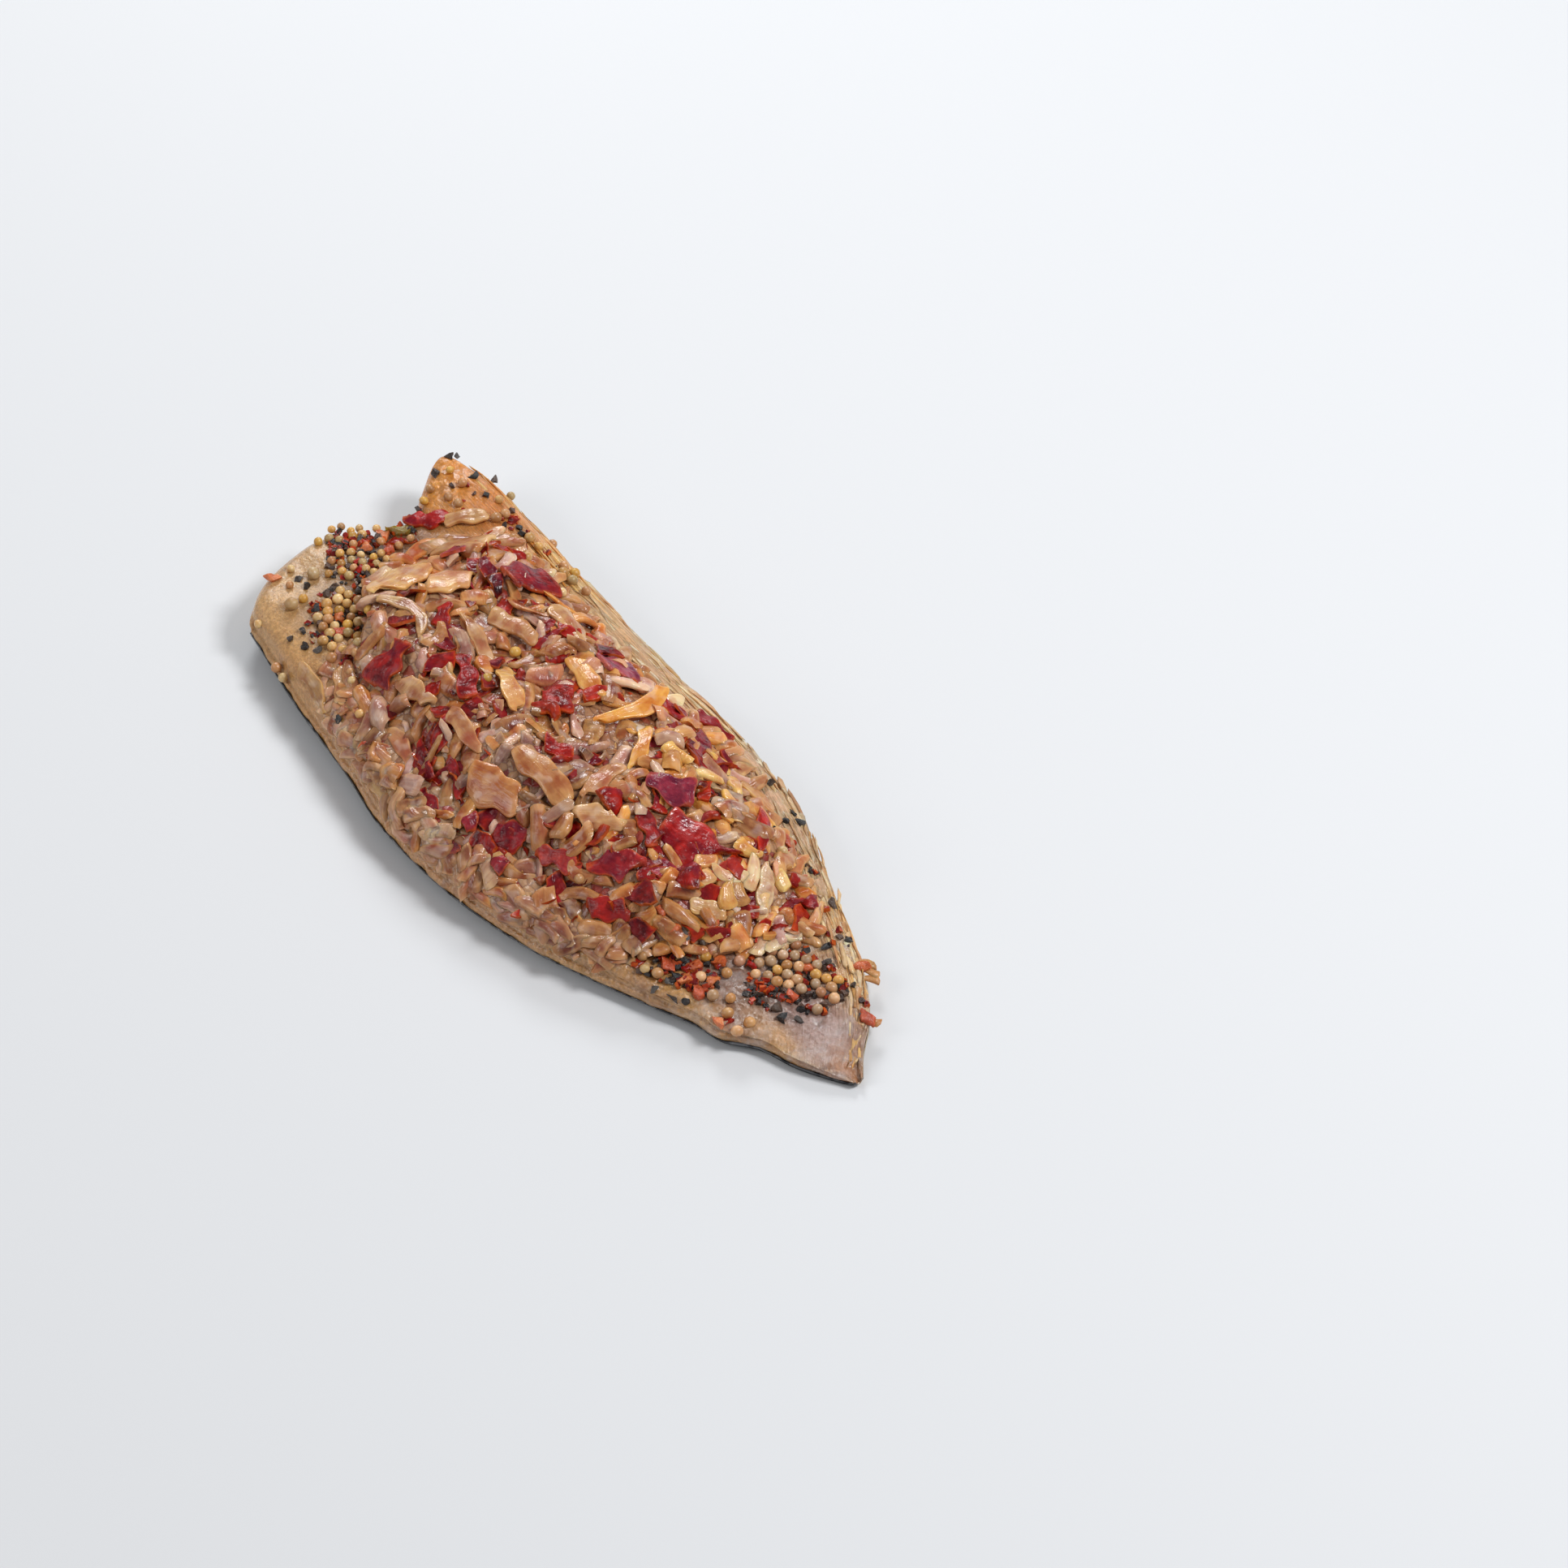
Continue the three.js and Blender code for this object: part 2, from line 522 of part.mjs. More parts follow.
// Small onion and pepper pieces spread evenly between the large ones.
function smallPieces() {
  const draw = drawer(905);
  const taken = [];
  for (const piece of largePieces) {
    const turn = THREE.MathUtils.degToRad(piece.turn);
    for (let s = -1; s <= 1; s += 0.5) {
      const reach = 0.42 * s * piece.length;
      taken.push([piece.x + reach * Math.cos(turn), piece.y + reach * Math.sin(turn)]);
    }
  }
  const pieces = [];
  for (let tries = 0; tries < 6000 && pieces.length < smallPieceCount; tries += 1) {
    const x = heapEnds[0] + (heapEnds[1] - heapEnds[0]) * draw();
    const y = -36 + 72 * draw();
    const turn = 360 * draw();
    const length = 5 + 3.5 * draw();
    if (insideHeap(x, y, -1.5) && taken.every((p) => Math.hypot(p[0] - x, p[1] - y) > smallPieceSpacing)) {
      taken.push([x, y]);
      pieces.push({ kind: { ...onion, across: 1 }, x, y, turn, length, width: 3.4, tilt: 24 * (draw() - 0.5) });
    }
  }
  return pieces.map((piece, i) => laidPiece(piece, 7000 + 31 * i, 0));
}

const filletGeometry = filletBody();
const spice = spiceBodies();
const nearHeap = spice.filter((body) => {
  body.computeBoundingBox();
  const centre = body.boundingBox.getCenter(new THREE.Vector3());
  return insideHeap(centre.x, centre.y, 7);
});
const fillet = wasm.Manifold.union([solidOf(filletGeometry), ...spice.map(solidOf)]);
const filletClear = wasm.Manifold.union(
  [filletGeometry, ...nearHeap].map((body) => solidOf(grown(body, clearance))),
);

// Large pieces are cut clear of the fillet and of the pieces laid before them.
const laid = [];
const laidClear = [];
largePieces.forEach((piece, i) => {
  let body = laidPiece(piece, 100 + 17 * i, 0).subtract(filletClear);
  laidClear.forEach((other) => {
    body = body.subtract(other);
  });
  laid.push({ name: piece.name, color: piece.kind.color, body });
  laidClear.push(laidPiece(piece, 100 + 17 * i, clearance));
});

const heap = wasm.Manifold.union([solidOf(heapCore()), ...smallPieces()]);
const relish = heap.subtract(filletClear).subtract(wasm.Manifold.union(laidClear));

const bodies = [
  { name: "fillet", color: 0xb98d54, roughness: 0.55, body: fillet },
  { name: "relish", color: 0xc98f5c, roughness: 0.4, body: relish },
  ...laid.map((piece) => ({ ...piece, roughness: 0.35 })),
].map((piece) => ({ ...piece, body: largestBody(piece.body.simplify(finest)) }));

// The whole is centred on the origin over its rest plane.
const whole = new THREE.Box3();
for (const { body } of bodies) {
  const { min, max } = body.boundingBox();
  whole.expandByPoint(new THREE.Vector3(...min));
  whole.expandByPoint(new THREE.Vector3(...max));
}
const middle = whole.getCenter(new THREE.Vector3());

const group = new THREE.Group();
group.name = "smoked_mackerel_fillet";
for (const { name, color, roughness, body } of bodies) {
  const shape = body.getMesh();
  const geometry = new THREE.BufferGeometry();
  geometry.setAttribute("position", new THREE.BufferAttribute(new Float32Array(shape.vertProperties), 3));
  geometry.setIndex(new THREE.BufferAttribute(new Uint32Array(shape.triVerts), 1));
  geometry.translate(-middle.x, -middle.y, -whole.min.z);
  geometry.computeVertexNormals();
  const mesh = new THREE.Mesh(geometry, new THREE.MeshStandardMaterial({ color, roughness, metalness: 0 }));
  mesh.name = name;
  group.add(mesh);
}

export default group;
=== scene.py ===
import bmesh
import bpy
import math
import numpy as np
from mathutils import Matrix, Vector


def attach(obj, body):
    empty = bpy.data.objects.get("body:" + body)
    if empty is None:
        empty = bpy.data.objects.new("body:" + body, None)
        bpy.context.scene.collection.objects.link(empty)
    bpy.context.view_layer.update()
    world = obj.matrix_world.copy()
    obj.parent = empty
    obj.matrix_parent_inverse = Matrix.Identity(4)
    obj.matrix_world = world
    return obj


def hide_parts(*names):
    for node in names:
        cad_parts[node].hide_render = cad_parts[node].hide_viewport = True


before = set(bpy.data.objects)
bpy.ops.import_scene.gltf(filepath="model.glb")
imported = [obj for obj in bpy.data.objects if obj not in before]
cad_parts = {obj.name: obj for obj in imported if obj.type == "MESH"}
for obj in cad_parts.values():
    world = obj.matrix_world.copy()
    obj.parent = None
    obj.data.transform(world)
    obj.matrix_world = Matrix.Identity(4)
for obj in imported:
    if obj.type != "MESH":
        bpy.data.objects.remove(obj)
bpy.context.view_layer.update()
mm = 0.001
shiftX = 0.05  # mm, the solids are centred on their own box
print("frame loaded")


def linear(red, green, blue):
    # screen colour 0-255 to the linear colour that a shader takes
    parts = [c / 255 for c in (red, green, blue)]
    return tuple(c / 12.92 if c < 0.04 else ((c + 0.055) / 1.055) ** 2.4 for c in parts) + (1.0,)


# the camera stands where the picture was taken from
cameraView = {
    "place": (788.87, -476.92, 962.97),  # mm from the middle of the fillet
    "azimuth": 56,
    "elevation": 46,
    "lens": 138.8,
}


def makeCamera(view):
    turn, rise = math.radians(view["azimuth"]), math.radians(view["elevation"])
    back = Vector((math.sin(turn) * math.cos(rise), -math.cos(turn) * math.cos(rise), math.sin(rise)))
    data = bpy.data.cameras.new("pictureCamera")
    data.lens = view["lens"]
    data.sensor_width = 36
    data.clip_start, data.clip_end = 0.05, 20
    camera = bpy.data.objects.new("pictureCamera", data)
    camera.location = Vector(view["place"]) * mm
    camera.rotation_mode = "QUATERNION"
    camera.rotation_quaternion = (-back).to_track_quat("-Z", "Y")
    bpy.context.scene.collection.objects.link(camera)
    bpy.context.scene.camera = camera


# soft studio light: a broad key from the belly side, a low fill and a pale floor
studio = {
    "sky": (0.94, 0.97, 1.0),
    "skyPower": 0.32,
    "floor": (0.74, 0.74, 0.75),
    "lamps": [  # name, place in m, aim in m, size in m, watts, colour
        ("keyLamp", (0.5, 0.52, 0.9), (0, 0, 0.01), 0.3, 8.4, (0.96, 0.98, 1.0)),
        ("fillLamp", (-0.3, -0.8, 0.6), (0, 0, 0.01), 0.5, 2.4, (1.0, 0.98, 0.97)),
        ("backLamp", (-0.6, 0.35, 0.5), (0, 0, 0.02), 0.25, 2.8, (0.95, 0.98, 1.0)),
    ],
}


def makeStudio(setup):
    bpy.context.scene.view_settings.view_transform = "Standard"
    world = bpy.data.worlds.new("studioWorld")
    bpy.context.scene.world = world
    world.use_nodes = True
    sky = world.node_tree.nodes["Background"]
    sky.inputs["Color"].default_value = setup["sky"] + (1.0,)
    sky.inputs["Strength"].default_value = setup["skyPower"]
    for name, place, aim, size, watts, colour in setup["lamps"]:
        lamp = bpy.data.lights.new(name, "AREA")
        lamp.size, lamp.energy, lamp.color = size, watts, colour
        stand = bpy.data.objects.new(name, lamp)
        stand.location = place
        stand.rotation_mode = "QUATERNION"
        stand.rotation_quaternion = (Vector(aim) - Vector(place)).to_track_quat("-Z", "Y")
        bpy.context.scene.collection.objects.link(stand)
    floorMesh = bpy.data.meshes.new("floor")
    floorMesh.from_pydata([(-3, -3, 0), (3, -3, 0), (3, 3, 0), (-3, 3, 0)], [], [(0, 1, 2, 3)])
    floor = bpy.data.objects.new("floor", floorMesh)
    bpy.context.scene.collection.objects.link(floor)
    paint = bpy.data.materials.new("paleFloor")
    paint.use_nodes = True
    shader = paint.node_tree.nodes["Principled BSDF"]
    shader.inputs["Base Color"].default_value = setup["floor"] + (1.0,)
    shader.inputs["Roughness"].default_value = 0.8
    floorMesh.materials.append(paint)


makeCamera(cameraView)
makeStudio(studio)
print("camera and studio ready")

# the fillet: x runs from head to tail, y from back to belly, all in mm
fish = {
    "backEdge": [
        (-100, -33), (-84, -33.5), (-60, -36.2), (-35, -37.8), (-18, -39.6), (6, -37.8), (28, -32.6),
        (42, -27), (60, -18.4), (68, -14.2), (75, -11.8), (81, -6.4), (90, -2.2), (100.5, 5.2),
    ],
    "bellyEdge": [
        (-100, 31.5), (-87, 35.5), (-57, 37.3), (-18, 38.5), (11, 39.6), (32, 37.8), (51, 32.4),
        (69, 26.8), (78, 23.6), (84, 20.6), (90, 16.4), (95, 11.6), (100.5, 7.6),
    ],
    "headEdge": [  # share of the width, x of the cut
        (0, -84), (0.08, -89.5), (0.2, -94), (0.36, -97.2), (0.5, -95), (0.6, -91.3),
        (0.7, -91.8), (0.8, -96), (0.9, -99.8), (0.96, -100.6), (1, -98),
    ],
    "tailEnd": 100.5,
    "fleshDepth": [(-100, 12.5), (-80, 13.6), (-40, 15), (0, 14.5), (40, 10.5), (70, 6), (100, 2.6)],
    "backLift": [(-100, 5), (-60, 3.5), (0, 2.5), (60, 2), (100, 0.6)],
    "bellyLift": [(-100, 11), (-80, 7.5), (-50, 4.5), (0, 3.5), (60, 2.5), (100, 1)],
    "rim": 3.6,
    "shoulder": (0.9, 3.4),  # how much lower the edge is, over what width
    "endRounding": 4.0,
    "restStrip": (0.34, 0.6),
}
heap = {
    "back": [
        (-79, 5), (-74, -7), (-66, -13), (-58, -21), (-52, -27), (-40, -30.5), (-22, -37),
        (0, -35.4), (24, -30.4), (40, -26), (50, -13), (60, 3), (64, 15),
    ],
    "belly": [
        (-79, 9), (-75, 20), (-67, 28), (-45, 28), (-26, 28.4), (-5, 29.6), (14, 33),
        (31, 30), (48, 26.6), (60, 22.6), (64, 18.4),
    ],
    "ends": (-79, 64),
    "height": 8.2,
    "mounds": [(1.1, 12.0, 41), (0.7, 5.5, 42)],  # height, width, seed
    "sink": 0.45,
    "edge": 1.4,
}


def smooth(value):
    t = np.clip(value, 0, 1)
    return t * t * (3 - 2 * t)


def curveAt(stations, x):
    # smooth curve through stations, level beyond both ends
    xs, ys = np.array(stations, float).T
    slopes = np.empty(len(xs))
    slopes[1:-1] = (ys[2:] - ys[:-2]) / (xs[2:] - xs[:-2])
    slopes[0] = (ys[1] - ys[0]) / (xs[1] - xs[0])
    slopes[-1] = (ys[-1] - ys[-2]) / (xs[-1] - xs[-2])
    x = np.clip(x, xs[0], xs[-1])
    i = np.clip(np.searchsorted(xs, x, side="left") - 1, 0, len(xs) - 2)
    span = xs[i + 1] - xs[i]
    t = (x - xs[i]) / span
    rise = ys[i] * (2 * t**3 - 3 * t * t + 1) + ys[i + 1] * (3 * t * t - 2 * t**3)
    return rise + slopes[i] * span * (t**3 - 2 * t * t + t) + slopes[i + 1] * span * (t**3 - t * t)


def cloud(points, size, seed=0):
    # smooth repeatable noise from -1 to 1 over points in mm
    p = np.asarray(points, float) / size + 57.3 * (seed + 1)
    cell = np.floor(p).astype(np.int64)
    t = p - cell
    t = t * t * (3 - 2 * t)
    total = np.zeros(p.shape[:-1])
    for corner in range(8):
        step = np.array([corner & 1, corner >> 1 & 1, corner >> 2 & 1])
        n = ((cell + step) * np.array([73856093, 19349663, 83492791])).sum(-1) + seed * 7919
        n = (n ^ (n >> 13)) * 1274126177 & 0xFFFFFFFF
        value = ((n ^ (n >> 16)) & 0xFFFF) / 32767.5 - 1
        total += value * np.prod(np.where(step == 1, t, 1 - t), axis=-1)
    return total


def shareAcross(x, y):
    back, belly = curveAt(fish["backEdge"], x), curveAt(fish["bellyEdge"], x)
    return (y - back) / (belly - back)


def skinHeight(x, v):
    low, high = fish["restStrip"]
    back = curveAt(fish["backLift"], x) * smooth((low - v) / low) ** 1.3
    return back + curveAt(fish["bellyLift"], x) * smooth((v - high) / (1 - high)) ** 1.2


def shoulder(x, v):
    drop, reach = fish["shoulder"]
    width = curveAt(fish["bellyEdge"], x) - curveAt(fish["backEdge"], x)
    return drop * (1 - smooth(width * np.minimum(v, 1 - v) / reach))


def fleshHeight(x, v):
    deep = curveAt(fish["fleshDepth"], x)
    inside = np.clip(v, 1e-9, 1 - 1e-9)
    bulge = np.where((v > 0) & (v < 1), np.abs(np.sin(np.pi * inside**0.85)) ** 0.62, 0)
    rim = np.minimum(fish["rim"], deep)
    groove = 2.2 * np.exp(-(((v - 0.56) / 0.075) ** 2)) * smooth((40 - x) / 90)
    waves = np.sin(0.19 * x + 1.1 + 6 * v) + 0.7 * np.sin(0.43 * x - 11 * v)
    top = rim + (deep - rim) * bulge - groove * np.minimum(1, deep / 10) + 0.22 * waves * bulge
    return top - shoulder(x, v)


def fleshTop(x, y):
    v = np.clip(shareAcross(x, y), 0, 1)
    return skinHeight(x, v) + fleshHeight(x, v)


def heapOver(x, y):
    v = np.clip(shareAcross(x, y), 0, 1)
    along = smooth((x + 80) / 22) * smooth((66 - x) / 26)
    across = smooth((v - 0.08) / 0.25) * smooth((0.93 - v) / 0.22)
    place = np.stack([x + 0.0 * y, y + 0.0 * x, 0.0 * x * y], -1)
    mounds = sum(high * cloud(place, wide, seed) for high, wide, seed in heap["mounds"])
    return (heap["height"] + mounds) * along * across


def heapTop(x, y):
    return fleshTop(x, y) + heapOver(x, y)


def insideHeap(x, y, margin=0.0):
    start, end = heap["ends"]
    near = (x >= start - margin) & (x <= end + margin)
    return near & (y > curveAt(heap["back"], x) - margin) & (y < curveAt(heap["belly"], x) + margin)


def storeValues(mesh, values):
    # numbers, vectors and colours kept on the points of a mesh, by name
    kinds = {1: ("FLOAT", "value"), 3: ("FLOAT_VECTOR", "vector"), 4: ("FLOAT_COLOR", "color")}
    for label, data in values.items():
        data = np.asarray(data, np.float32)
        kind, slot = kinds[1 if data.ndim == 1 else data.shape[1]]
        mesh.attributes.new(label, kind, "POINT").data.foreach_set(slot, data.ravel())


def addPiece(name, verts, faces, material, values=None):
    # one smooth closed mesh from points in mm, joined where points meet, faces outwards
    mesh = bpy.data.meshes.new(name)
    points = np.asarray(verts, float).reshape(-1, 3) * mm
    points[:, 0] += shiftX * mm
    mesh.from_pydata(points.tolist(), [], faces)
    storeValues(mesh, values or {})
    mesh.materials.append(material)
    work = bmesh.new()
    work.from_mesh(mesh)
    bmesh.ops.remove_doubles(work, verts=work.verts, dist=2e-6)
    bmesh.ops.dissolve_degenerate(work, edges=work.edges, dist=1e-7)
    bmesh.ops.recalc_face_normals(work, faces=work.faces)
    for face in work.faces:
        face.smooth = True
    work.to_mesh(mesh)
    work.free()
    mesh.update()
    piece = bpy.data.objects.new(name, mesh)
    bpy.context.scene.collection.objects.link(piece)
    return piece


def standFor(piece, node):
    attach(piece, "root")
    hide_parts(node)


def closedLoft(rings, across, side):
    # rings run over the top, down one side, back below and up the other side;
    # both ends are closed by a grid that meets the ring point by point
    rows, size = rings.shape[:2]
    ids = np.arange(rows * size).reshape(rows, size)
    nextIds = np.roll(ids, -1, axis=1)
    quads = np.stack([ids[:-1], nextIds[:-1], nextIds[1:], ids[1:]], -1).reshape(-1, 4)
    verts, faces = [rings.reshape(-1, 3)], [quads]
    count = rows * size
    for end in (0, rows - 1):
        grid = np.empty((side + 2, across), int)
        grid[0] = ids[end, :across]
        grid[1:-1, -1] = ids[end, across:across + side]
        grid[-1] = ids[end, across + side:2 * across + side][::-1]
        grid[1:-1, 0] = ids[end, 2 * across + side:][::-1]
        flat = rings.reshape(-1, 3)
        top, bottom, left, right = flat[grid[0]], flat[grid[-1]], flat[grid[:, 0]], flat[grid[:, -1]]
        w = np.linspace(0, 1, side + 2)[:, None, None]
        u = np.linspace(0, 1, across)[None, :, None]
        patch = (1 - w) * top[None] + w * bottom[None] + (1 - u) * left[:, None] + u * right[:, None]
        patch -= (1 - u) * ((1 - w) * top[0] + w * bottom[0]) + u * ((1 - w) * top[-1] + w * bottom[-1])
        inner = patch[1:-1, 1:-1].reshape(-1, 3)
        grid[1:-1, 1:-1] = count + np.arange(len(inner)).reshape(side, across - 2)
        count += len(inner)
        verts.append(inner)
        faces.append(np.stack([grid[:-1, :-1], grid[1:, :-1], grid[1:, 1:], grid[:-1, 1:]], -1).reshape(-1, 4))
    return np.concatenate(verts), np.concatenate(faces).tolist()


# shader building blocks
def newMaterial(name, roughness, subsurface=0.0, radius=(1.0, 0.5, 0.3), depth=0.002, coat=0.0, coatRoughness=0.15):
    material = bpy.data.materials.new(name)
    material.use_nodes = True
    tree = material.node_tree
    shader = tree.nodes["Principled BSDF"]
    finish = {
        "Roughness": roughness, "Subsurface Weight": subsurface, "Subsurface Radius": radius,
        "Subsurface Scale": depth,
        "Coat Weight": coat, "Coat Roughness": coatRoughness,
    }
    for label, value in finish.items():
        shader.inputs[label].default_value = value
    return material, tree, shader


def addNode(tree, kind, links=None, **settings):
    item = tree.nodes.new(kind)
    for key, value in settings.items():
        setattr(item, key, value)
    for key, value in (links or {}).items():
        if isinstance(value, bpy.types.NodeSocket):
            tree.links.new(value, item.inputs[key])
        else:
            item.inputs[key].default_value = value
    return item


def objectPoints(tree, scale=(1, 1, 1)):
    place = addNode(tree, "ShaderNodeTexCoord").outputs["Object"]
    return addNode(tree, "ShaderNodeMapping", {"Vector": place, "Scale": scale}).outputs["Vector"]


def grain(tree, vector, scale, detail=3.0, roughness=0.55, distortion=0.0):
    inputs = {"Vector": vector, "Scale": scale, "Detail": detail, "Roughness": roughness, "Distortion": distortion}
    return addNode(tree, "ShaderNodeTexNoise", inputs).outputs["Fac"]


def calc(tree, operation, a, b=0.0):
    return addNode(tree, "ShaderNodeMath", {0: a, 1: b}, operation=operation).outputs[0]


def times(tree, a, b):
    return calc(tree, "MULTIPLY", a, b)


def plus(tree, a, b):
    return calc(tree, "ADD", a, b)


def between(tree, value, low, high, toLow=0.0, toHigh=1.0):
    links = {"Value": value, "From Min": low, "From Max": high, "To Min": toLow, "To Max": toHigh}
    return addNode(tree, "ShaderNodeMapRange", links, clamp=True).outputs[0]


def mixColour(tree, share, first, second, blend="MIX"):
    links = {0: share, 6: first, 7: second}
    return addNode(tree, "ShaderNodeMix", links, data_type="RGBA", blend_type=blend).outputs[2]


def tinted(tree, tint, factors):
    return mixColour(tree, 1.0, tint, factors + (1,), "MULTIPLY")


def stored(tree, name, output="Fac"):
    return addNode(tree, "ShaderNodeAttribute", attribute_name=name, attribute_type="GEOMETRY").outputs[output]


def setBump(tree, shader, height, distance, strength=1.0):
    bump = addNode(tree, "ShaderNodeBump", {"Height": height, "Distance": distance, "Strength": strength})
    tree.links.new(bump.outputs["Normal"], shader.inputs["Normal"])
    tree.links.new(bump.outputs["Normal"], shader.inputs["Coat Normal"])


# flesh: fields of colour over the fillet, fine moist grain and fibres along the belly
fleshLook = {
    "fields": [  # x, y, reach along, reach across, colour
        (-92, -20, 14, 18, (208, 170, 118)),
        (-86, 4, 6, 9, (104, 66, 46)),
        (-79, -7, 7, 7, (104, 70, 50)),
        (-68, -19, 9, 6, (92, 62, 44)),
        (-66, -29, 16, 6, (200, 156, 98)),
        (-94, 27, 12, 11, (224, 152, 60)),
        (-80, 31, 14, 5, (204, 116, 40)),
        (-50, 35, 24, 6, (232, 188, 126)),
        (0, 36, 40, 6, (218, 176, 138)),
        (40, 33, 24, 7, (230, 192, 156)),
        (66, 24, 14, 6, (226, 192, 152)),
        (80, 18, 8, 4, (216, 172, 128)),
        (-20, -36, 40, 6, (208, 154, 88)),
        (40, -26, 26, 6, (206, 158, 92)),
        (66, -13, 14, 3.4, (206, 160, 96)),
        (84, -3, 8, 3, (202, 156, 96)),
        (66, 2, 12, 9, (128, 103, 94)),
        (82, 7, 9, 6, (174, 150, 146)),
        (97, 6, 5, 6, (172, 122, 84)),
        (0, 0, 60, 30, (160, 118, 84)),
    ],
    "fibreDepth": 0.28,
    "lumpDepth": 0.35,
    "cells": (300, 110, 8),  # along, across and up each side
}


def makeFleshMaterial():
    material, tree, shader = newMaterial("smokedFlesh", 0.42, 0.3, (1.0, 0.45, 0.2), 0.003, 0.4, 0.16)
    place = objectPoints(tree)
    fine = grain(tree, place, 1500, 4, 0.65)
    spots = grain(tree, place, 420, 3, 0.6, 0.4)
    flow = addNode(tree, "ShaderNodeMapping", {"Vector": stored(tree, "flow", "Vector"), "Scale": (100, 1900, 900)})
    fibre = grain(tree, flow.outputs["Vector"], 1.0, 3, 0.62, 0.5)
    fibreShare = stored(tree, "fibre")
    tint = stored(tree, "tint", "Color")
    pale = tinted(tree, tint, (1.3, 1.24, 1.22))
    dark = tinted(tree, tint, (0.62, 0.54, 0.46))
    mottled = mixColour(tree, between(tree, fine, 0.28, 0.7), dark, pale)
    toned = mixColour(tree, between(tree, spots, 0.42, 0.62, 0.0, 0.4), mottled, dark)
    streaks = mixColour(tree, between(tree, fibre, 0.4, 0.6), dark, pale)
    colour = mixColour(tree, times(tree, fibreShare, 0.54), toned, streaks)
    wet = stored(tree, "wet")
    # painted sheen: pale grey-pink patches over the tail stand in for its broad wet reflection
    sheenPatches = between(tree, grain(tree, place, 130, 4, 0.6, 0.6), 0.5, 0.68, 0.0, 0.4)
    withSheen = mixColour(tree, times(tree, sheenPatches, stored(tree, "tailSheen")), colour, linear(212, 200, 196))
    brown = between(tree, grain(tree, place, 90, 3, 0.6, 1.2), 0.56, 0.68, 0.0, 0.5)
    streaked = mixColour(tree, times(tree, brown, wet), withSheen, linear(132, 84, 54))
    tree.links.new(streaked, shader.inputs["Base Color"])
    dry = calc(tree, "SUBTRACT", 1.0, times(tree, wet, 0.6))
    tree.links.new(times(tree, between(tree, spots, 0.3, 0.7, 0.3, 0.52), dry), shader.inputs["Roughness"])
    tree.links.new(between(tree, wet, 0.0, 1.0, 0.35, 0.9), shader.inputs["Coat Weight"])
    ridges = times(tree, fibre, times(tree, fibreShare, 1.9))
    pools = times(tree, grain(tree, place, 190, 2, 0.5, 0.3), times(tree, wet, 6.0))
    height = plus(tree, times(tree, fine, 0.5), plus(tree, ridges, pools))
    setBump(tree, shader, height, 0.00045, 0.85)
    return material


def makeSkinMaterial():
    # dark wavy bands over the back, bronze and silver towards the belly
    material, tree, shader = newMaterial("fishSkin", 0.3, coat=0.35, coatRoughness=0.2)
    shader.inputs["Metallic"].default_value = 0.5
    bands = grain(tree, objectPoints(tree, (260, 60, 60)), 1.0, 2, 0.5, 1.2)
    scales = addNode(tree, "ShaderNodeTexVoronoi", {"Vector": objectPoints(tree, (520, 760, 400)), "Scale": 1.0})
    glint = grain(tree, objectPoints(tree), 900, 3, 0.7)
    backTone = mixColour(tree, between(tree, bands, 0.46, 0.54), linear(30, 30, 36), linear(88, 88, 90))
    bellyTone = mixColour(tree, between(tree, glint, 0.35, 0.65), linear(164, 142, 106), linear(222, 212, 186))
    smoke = grain(tree, objectPoints(tree, (36, 120, 60)), 1.0, 3, 0.6, 0.6)
    bellyTone = mixColour(tree, between(tree, smoke, 0.42, 0.64, 0, 0.75), bellyTone, linear(186, 136, 70))
    tone = mixColour(tree, between(tree, stored(tree, "across"), 0.3, 0.62), backTone, bellyTone)
    silver = mixColour(tree, between(tree, glint, 0.6, 0.72, 0, 0.5), tone, linear(150, 158, 168))
    tree.links.new(silver, shader.inputs["Base Color"])
    setBump(tree, shader, plus(tree, scales.outputs["Distance"], glint), 0.0002, 0.6)
    return material


def fishPoints(u, v, level, inward):
    # points of the section at share u: level 0 is the skin, 1 the top of the rim, 2 the flesh
    start = curveAt(fish["headEdge"], v)
    x = start + (fish["tailEnd"] - start) * u
    back, belly = curveAt(fish["backEdge"], x), curveAt(fish["bellyEdge"], x)
    width = belly - back
    side = np.where(v < 0.5, 1.0, -1.0)
    y = back + width * v + side * np.minimum(inward, 0.2 * width)
    toEnd = np.minimum(u, 1 - u) * (fish["tailEnd"] - start)
    rounded = np.sqrt(1 - (1 - np.minimum(1, toEnd / fish["endRounding"])) ** 2)
    rim = np.minimum(fish["rim"], curveAt(fish["fleshDepth"], x))
    tall = np.where(level > 1, fleshHeight(x, v), np.minimum(level, 1) * (rim - shoulder(x, v)))
    z = skinHeight(x, v) + tall * (0.72 + 0.28 * rounded) + 0.9 * (1 - rounded) * np.clip(1 - level, 0, 1)
    return np.stack([x, y, z], -1)


def sharesAlong(count):
    # shares of the length, closer together at both ends
    t = np.linspace(0, 1, count)
    return (0.7 * t + 0.3 * (0.5 - 0.5 * np.cos(np.pi * t)))[:, None]


def fibreShare(points):
    # how far the flesh shows its long fibres: along the belly and over the tail
    x, y = points[..., 0], points[..., 1]
    v = shareAcross(x, y)
    belly = smooth((v - 0.62) / 0.2) * smooth((x + 96) / 20)
    tail = np.maximum(smooth((x - 58) / 14) * smooth((v - 0.5) / 0.3), 0.35 * smooth((x - 70) / 16))
    return np.maximum(belly, tail)


